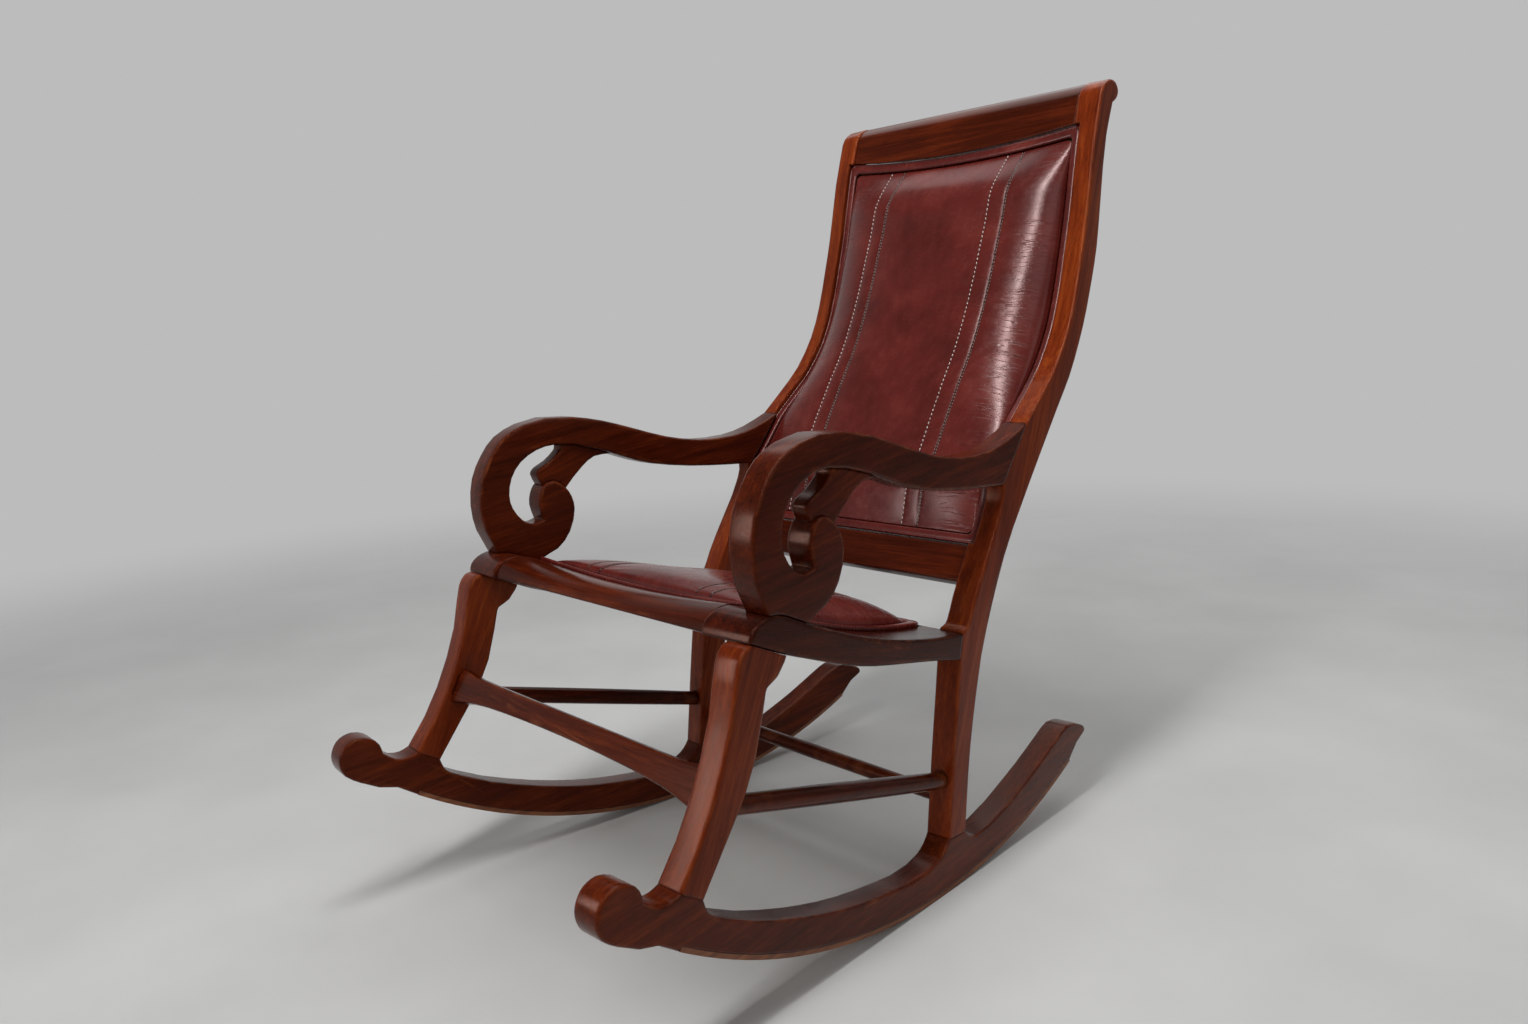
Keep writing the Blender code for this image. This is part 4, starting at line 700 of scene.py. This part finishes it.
def sinkSeams(x, h, rise):
    # the height once the seams near x have pulled the leather down, and how dark the painted shade in their
    # grooves is there
    dark = 0.0
    for at, kind in seams["lines"]:
        deep, wide, shade = seams[kind]
        near = math.exp(-((x - at) / wide) ** 2)
        h -= deep * near * min(rise * seams["fade"], 1)
        dark = max(dark, shade * math.exp(-((x - at) / (seams["shade"] * wide)) ** 2))
    return h, dark


def roundCorner(x, v, w, v0, v1):
    # points near a corner are drawn in, so that the corner is round
    corner = padSet["corner"]
    dx, dv = corner - (w - abs(x)), corner - min(v - v0, v1 - v)
    if dx <= 0 or dv <= 0:
        return x, v
    pull = max(dx, dv) / math.hypot(dx, dv)
    return (math.copysign(w - corner + dx * pull, x),
            v0 + corner - dv * pull if v - v0 < v1 - v else v1 - corner + dv * pull)


def sewPad(name, place, half, v0, v1, crown, made):
    # a crowned closed pad on a grid of about 5 mm, held at its border, its seams and where it lies
    bm = bmesh.new()
    hideLayer = bm.verts.layers.float_vector.new("hide")
    seamShadeLayer = bm.verts.layers.float.new("seam")
    bentLayer = bm.verts.layers.float.new("bent")
    bentAt, bentWide = padSet["bent"]
    top = []
    for i in range(made["rows"] + 1):
        t = i / made["rows"]
        v = v0 + (v1 - v0) * (t - padSet["crowd"] * math.sin(2 * math.pi * t) / (2 * math.pi))
        w = half(v)
        rise = bulge(2 * (v - v0) / (v1 - v0) - 1, padSet["endPower"])
        middle = made["start"] * crown(v, v0, v1)
        row = []
        for x in padColumns(w):
            h, dark = sinkSeams(x, made["lip"] + middle * bulge(x / w, made["power"]), rise)
            px, pv = roundCorner(x, v, w, v0, v1)
            vert = bm.verts.new(place(px, pv, h))
            vert[hideLayer] = (px, pv, 0)
            # painted shade along the seam grooves
            vert[seamShadeLayer] = dark
            vert[bentLayer] = math.exp(-((w - abs(x) - bentAt) / bentWide) ** 2)
            row.append(vert)
        top.append(row)
    coverGrid(bm, top)
    border = borderOf(top)
    base = {}
    for vert in border:
        x, v, _ = vert[hideLayer]
        foot = bm.verts.new(place(x * padSet["footWidth"], v, made["bed"]))
        foot[hideLayer] = (x, v, padSet["footHide"])
        base[vert] = foot
    for a, b in zip(border, border[1:] + border[:1]):
        bm.faces.new((b, a, base[a], base[b]))
    for a, b in zip(top, top[1:]):
        if a is top[0]:
            bm.faces.new([base[x] for x in a] + [base[b[-1]], base[b[0]]])
        elif b is top[-1]:
            bm.faces.new([base[a[0]], base[a[-1]]] + [base[x] for x in reversed(b)])
        else:
            bm.faces.new((base[a[0]], base[a[-1]], base[b[-1]], base[b[0]]))
    bm.verts.index_update()
    fixed = set(border) | set(base.values())
    seamColumns = [j for j, x in enumerate(padColumns(half((v0 + v1) / 2)))
                   if min(abs(x - at) for at, _ in seams["lines"]) < seams["onLine"]]
    for row in top:
        fixed |= {row[j] for j in seamColumns}
    held = [vert.index for vert in fixed]
    pad = addObject(name, smoothMesh(bm, name))
    pad.vertex_groups.new(name="held").add(held, 1.0, "REPLACE")
    return pad


swellSet = {
    "frames": 20,
    "still": 1e-9,                          # a point that moves less than this is held
    "cloth": {"use_pressure": True, "uniform_pressure_force": 4, "mass": 0.3, "tension_stiffness": 25,
              "compression_stiffness": 25, "shear_stiffness": 12, "bending_stiffness": 1.2,
              "vertex_group_mass": "held"},
}


def swellPads(pads):
    # air pressure lifts the leather between its seams, as filling does
    for pad, _ in pads:
        cloth = pad.modifiers.new("swell", "CLOTH")
        for name, value in swellSet["cloth"].items():
            setattr(cloth.settings, name, value)
        cloth.settings.effector_weights.gravity = 0
        cloth.point_cache.frame_start = 1
        cloth.point_cache.frame_end = swellSet["frames"]
    for step in range(1, swellSet["frames"] + 1):
        scene.frame_set(step)
    graph = bpy.context.evaluated_depsgraph_get()
    for pad, made in pads:
        swollen = pad.evaluated_get(graph).to_mesh()
        moved = []
        for before, after in zip(pad.data.vertices, swollen.vertices):
            push = after.co - before.co
            size = push.length
            if size > swellSet["still"]:
                push *= made["swell"] * math.tanh(size / made["swell"]) / size
            moved.append(before.co + push)
        pad.modifiers.clear()
        for vert, place in zip(pad.data.vertices, moved):
            vert.co = place
        print("swell: %s by up to %.1f mm" % (pad.name, 1000 * made["swell"]))
    scene.frame_set(1)


def finishPad(pad, made, *nodes):
    soft = pad.modifiers.new("round", "SUBSURF")
    soft.levels = 1
    soft.render_levels = 1
    name = pad.name
    piece = addPiece(name, takeMesh(pad), leather, "leather", *nodes)
    return piece


inner = chair["band"] + chair["clear"] + chair["glue"]
seatV = (seatSet["front"] + chair["clear"], seatSet["back"] - chair["clear"])
backV = (backStart, backEnd)
seatPad = sewPad("seatCushion", seatPlace, lambda y: seatHalf(y) - chair["band"] - chair["glue"],
                 seatV[0] + inner, seatV[1] - inner, seatCrown, seatSet)
backPad = sewPad("backCushion", backPlace, lambda s: backHalf(s) - chair["band"] - chair["glue"],
                 backV[0] + inner, backV[1] - inner, backCrown, backSet)
swellPads(((seatPad, seatSet), (backPad, backSet)))
seatPad = finishPad(seatPad, seatSet, "seat_pad", "seat_foam")
backPad = finishPad(backPad, backSet, "back_pad", "back_foam")
print("pads: %d and %d faces" % (len(seatPad.data.polygons), len(backPad.data.polygons)))

weltSet = {
    # distance in from the outer edge and height from the top: a bead, a groove, then a flat band
    "outer": ((0.0003, -0.0016), (0.0008, -0.0003), (0.0018, 0.0005), (0.0028, 0.0003), (0.0034, -0.0006),
              (0.0040, -0.0003), (0.0055, 0.0001), (0.0080, 0.0004), (0.0105, 0.0002)),
    # the same, from the inner edge
    "inner": ((0.0018, -0.0004), (0.0007, -0.0015), (0.0003, -0.0030)),
    "side": 0.0003,                         # how far in the two sides stand
    "corner": (0.0085, 0.3, 0.0055),        # outer radius, its loss on the way in, least radius
    "across": 40, "turns": 6,               # steps along an end and round a corner
    "step": 0.007, "fewest": 20,            # spacing along a side
    # groove and tuck: where the welt is painted dark as shade, in its groove and where it tucks under the
    # pad; dark: how dark
    "groove": (0.003, 0.0038), "tuck": 0.0006, "dark": 0.7,
    "liftOver": 0.025,                      # the rise to the crest dies away over this length
    "hide": 0.5,                            # cut from another part of the hide than the pads
}
crestHalf = inside(backSet["rest"][-1][0], chair["stock"])


def crestLift(x, height):
    # how far the top edge of the back's welt rises to meet the underside of the crest
    share = min(abs(x) / crestHalf, 1)
    crestLow = backSet["to"] - backSet["crestDrop"] * (1 - share ** 2) - backSet["crestGap"]
    return max(crestLow - (toWorld.inverted() @ backPlace(x, backEnd, height)).z, 0)


def weltRing(half, v0, v1, inset):
    # a closed line round a pad, this far in from the welt's outer edge
    outer, loss, least = weltSet["corner"]
    corner = max(outer - loss * inset, least)
    a, b = v0 + inset, v1 - inset
    w0, w1 = half(a) - inset - corner, half(b) - inset - corner
    across = [i / weltSet["across"] for i in range(weltSet["across"] + 1)]
    count = max(int((v1 - v0) / weltSet["step"]), weltSet["fewest"])
    side = [a + corner + (b - a - 2 * corner) * i / count for i in range(count + 1)]
    turns = [math.pi / 2 * i / weltSet["turns"] for i in range(1, weltSet["turns"])]
    points = [(-w0 + 2 * w0 * t, a) for t in across]
    points += [(w0 + corner * math.sin(q), a + corner * (1 - math.cos(q))) for q in turns]
    points += [(half(v) - inset, v) for v in side]
    points += [(w1 + corner * math.cos(q), b - corner * (1 - math.sin(q))) for q in turns]
    points += [(w1 - 2 * w1 * t, b) for t in across]
    points += [(-w1 - corner * math.sin(q), b - corner * (1 - math.cos(q))) for q in turns]
    points += [(inset - half(v), v) for v in reversed(side)]
    points += [(-w0 - corner * math.cos(q), a + corner * (1 - math.sin(q))) for q in turns]
    return points


def makeWelt(name, place, half, v0, v1, made, node, lift=None):
    # a flat leather band with a beaded outer edge round a pad
    band, low, high = chair["band"], made["bed"], made["weltTop"]
    profile = [(weltSet["side"], low)]
    profile += [(inset, high + rise) for inset, rise in weltSet["outer"]]
    profile += [(band - inset, high + rise) for inset, rise in weltSet["inner"]]
    profile += [(band - weltSet["side"], low)]
    grooveStart, grooveEnd = weltSet["groove"]
    bm = bmesh.new()
    hideLayer = bm.verts.layers.float_vector.new("hide")
    seamShadeLayer = bm.verts.layers.float.new("seam")
    rings = []
    for inset, height in profile:
        # the groove and the tuck get painted shade
        sewn = grooveStart < inset < grooveEnd or inset > band - weltSet["tuck"]
        ring = []
        for x, v in weltRing(half, v0, v1, inset):
            if lift:
                near = max(1 - (v1 - inset - v) / weltSet["liftOver"], 0)
                v += lift(x, height) * (1 - inset / band) * near
            vert = bm.verts.new(place(x, v, height))
            vert[hideLayer] = (x + weltSet["hide"], v, inset)
            vert[seamShadeLayer] = weltSet["dark"] if sewn else 0.0
            ring.append(vert)
        rings.append(ring)
    for a, b in zip(rings, rings[1:] + rings[:1]):
        joinLoops(bm, a, b)
    addPiece(name, smoothMesh(bm, name), weltLeather, "leather", node)


makeWelt("seatWelt", seatPlace, seatHalf, *seatV, seatSet, "seat_welt")
makeWelt("backWelt", backPlace, backHalf, *backV, backSet, "back_welt", crestLift)
print("welts made")

# sewn: the pads and the seam lines that a thread runs along
stitchSet = {
    "topStitches": {"sewn": (("back", "top"),), "thread": "waxed", "offsets": (0.0,),
                    "pitch": 0.0068, "long": 0.0049, "thick": 0.0018, "slant": 6},
    "doubleStitches": {"sewn": (("back", "double"),), "thread": "brown", "offsets": (-0.0013, 0.0013),
                       "pitch": 0.0048, "long": 0.0040, "thick": 0.0008, "slant": 10},
    "seatStitches": {"sewn": (("seat", "top"), ("seat", "double")), "thread": "dark",
                     "offsets": (-0.0011, 0.0011),
                     "pitch": 0.0052, "long": 0.0044, "thick": 0.0011, "slant": 10},
}
rowSet = {
    "end": 0.004,                           # a row stops this far from the pad's end
    "step": 0.0025,
    "above": 0.07, "below": -0.012,         # where a row's points are dropped from and towards
    "proud": 0.0002,
}


def stitchTree():
    # a thread bead on every point of a row, lying along it
    tree = bpy.data.node_groups.new("stitchRow", "GeometryNodeTree")
    tree.interface.new_socket("Geometry", in_out="INPUT", socket_type="NodeSocketGeometry")
    sockets = {}
    for name in ("Pitch", "Long", "Thick", "Slant", "Thread"):
        kind = "NodeSocketMaterial" if name == "Thread" else "NodeSocketFloat"
        sockets[name] = tree.interface.new_socket(name, in_out="INPUT", socket_type=kind).identifier
    tree.interface.new_socket("Geometry", in_out="OUTPUT", socket_type="NodeSocketGeometry")
    given = addNode(tree, "NodeGroupInput").outputs
    row = addNode(tree, "GeometryNodeMeshToCurve", {"Mesh": given["Geometry"]})
    spaced = addNode(tree, "GeometryNodeResampleCurve",
                     {"Curve": row.outputs["Curve"], "Length": given["Pitch"]}, mode="LENGTH")
    bead = addNode(tree, "GeometryNodeMeshUVSphere", {"Segments": 8, "Rings": 5, "Radius": 0.5})
    size = addNode(tree, "ShaderNodeCombineXYZ", {0: given["Long"], 1: given["Thick"], 2: given["Thick"]})
    drawn = addNode(tree, "GeometryNodeTransform",
                    {"Geometry": bead.outputs["Mesh"], "Scale": size.outputs[0]})
    tangent = addNode(tree, "GeometryNodeInputTangent")
    up = addNode(tree, "GeometryNodeInputNamedAttribute", {"Name": "up"}, data_type="FLOAT_VECTOR")
    along = addNode(tree, "FunctionNodeAlignRotationToVector", {"Vector": tangent.outputs[0]}, axis="X")
    lying = addNode(tree, "FunctionNodeAlignRotationToVector",
                    {"Rotation": along.outputs[0], "Vector": up.outputs["Attribute"]},
                    axis="Z", pivot_axis="X")
    turn = addNode(tree, "FunctionNodeAxisAngleToRotation", {"Angle": given["Slant"], "Axis": (0, 0, 1)})
    slanted = addNode(tree, "FunctionNodeRotateRotation",
                      {"Rotation": lying.outputs[0], "Rotate By": turn.outputs[0]}, rotation_space="LOCAL")
    placed = addNode(tree, "GeometryNodeInstanceOnPoints",
                     {"Points": spaced.outputs["Curve"], "Instance": drawn.outputs["Geometry"],
                      "Rotation": slanted.outputs[0]})
    real = addNode(tree, "GeometryNodeRealizeInstances", {"Geometry": placed.outputs["Instances"]})
    threaded = addNode(tree, "GeometryNodeSetMaterial",
                       {"Geometry": real.outputs["Geometry"], "Material": given["Thread"]})
    addNode(tree, "NodeGroupOutput", {0: threaded.outputs["Geometry"]})
    return tree, sockets


def sewLine(bm, upLayer, skin, place, x, v0, v1):
    # a row of points laid on the finished leather
    count = int((v1 - v0) / rowSet["step"])
    last = None
    for i in range(count + 1):
        v = v0 + (v1 - v0) * i / count
        start, end = place(x, v, rowSet["above"]), place(x, v, rowSet["below"])
        hit, normal, _, _ = skin.ray_cast(start, (end - start).normalized())
        if hit is None:
            last = None
            continue
        vert = bm.verts.new(hit + normal * rowSet["proud"])
        vert[upLayer] = normal
        if last:
            bm.edges.new((last, vert))
        last = vert


rowTree, rowSockets = stitchTree()
graph = bpy.context.evaluated_depsgraph_get()
skins = {
    "seat": (BVHTree.FromObject(seatPad, graph), seatPlace, seatV),
    "back": (BVHTree.FromObject(backPad, graph), backPlace, backV),
}


def makeStitches(name, made):
    bm = bmesh.new()
    upLayer = bm.verts.layers.float_vector.new("up")
    for pad, kind in made["sewn"]:
        skin, place, (v0, v1) = skins[pad]
        start, end = v0 + inner + rowSet["end"], v1 - inner - rowSet["end"]
        for at in [at for at, use in seams["lines"] if use == kind]:
            for offset in made["offsets"]:
                sewLine(bm, upLayer, skin, place, at + offset, start, end)
    mesh = bpy.data.meshes.new(name + "Rows")
    bm.to_mesh(mesh)
    bm.free()
    rows = addObject(name + "Rows", mesh)
    sew = rows.modifiers.new("sew", "NODES")
    sew.node_group = rowTree
    thread = threads[made["thread"]]
    given = {"Pitch": made["pitch"], "Long": made["long"], "Thick": made["thick"],
             "Slant": math.radians(made["slant"]), "Thread": thread}
    for key, value in given.items():
        sew[rowSockets[key]] = value
    sewn = takeMesh(rows)
    for face in sewn.polygons:
        face.use_smooth = True
    addPiece(name, sewn, thread, "leather")
    print("%s: %d faces" % (name, len(sewn.polygons)))


for name, made in stitchSet.items():
    makeStitches(name, made)


def makeCotton():
    # plain-woven black-brown cotton: a check of threads, drawn coarser than real ones so that it shows
    material, tree = newMaterial("cottonLining")
    spot = addNode(tree, "ShaderNodeTexCoord").outputs["Object"]
    yarns = []
    for way in ("X", "Z"):
        yarn = addNode(tree, "ShaderNodeTexWave",
                       {"Vector": spot, "Scale": 1 / fabricSet["cottonYarn"], "Distortion": 0.3},
                       bands_direction=way)
        yarns.append(yarn.outputs["Fac"])
    weave = addMath(tree, "MULTIPLY", *yarns)
    dye = addRamp(tree, weave, (0.0, "#1a1210"), (1.0, "#33241e"))
    nap = addNode(tree, "ShaderNodeBump", {"Height": weave, "Strength": 0.3, "Distance": 0.0006})
    addSurface(tree, {"Base Color": dye, "Normal": nap.outputs["Normal"],
                      "Roughness": 0.9, "Sheen Weight": 0.2})
    return material


def makeJute():
    # coarse interlaced jute bands under the wadding
    material, tree = newMaterial("juteWebbing")
    spot = addNode(tree, "ShaderNodeTexCoord").outputs["Object"]
    check = addNode(tree, "ShaderNodeTexChecker",
                    {"Vector": spot, "Scale": 1 / fabricSet["juteStrand"],
                     "Color1": fromHex("#9a7a4a"), "Color2": fromHex("#7c6038")})
    addSurface(tree, {"Base Color": check.outputs["Color"], "Roughness": 0.95})
    return material


sheetSet = {
    "lining": {"front": -0.0157, "thick": 0.0010, "edge": 0.0004},
    "webbing": {"front": -0.0133, "thick": 0.0018, "edge": 0.0040},
    "rows": 60, "columns": 24,
}


def makeSheet(name, made, material, slot, node):
    # a sheet stretched between the posts along their S curve
    bm = bmesh.new()
    rows, columns = sheetSet["rows"], sheetSet["columns"]
    grids = []
    for h in (made["front"], made["front"] - made["thick"]):
        grid = []
        for i in range(rows + 1):
            s = backStart + (backEnd - backStart) * i / rows
            w = backWidth(s, chair["stock"]) - made["edge"]
            spots = [backPlace(w * (2 * j / columns - 1), s, h) for j in range(columns + 1)]
            grid.append([bm.verts.new(spot) for spot in spots])
        grids.append(grid)
    for grid in grids:
        coverGrid(bm, grid)
    joinLoops(bm, *[borderOf(grid) for grid in grids])
    piece = addPiece(name, smoothMesh(bm, name), material, slot, node)


makeSheet("backLining", sheetSet["lining"], makeCotton(), "lining", "back_lining")
makeSheet("backWebbing", sheetSet["webbing"], makeJute(), "webbing", "back_webbing")
print("lining and webbing made")
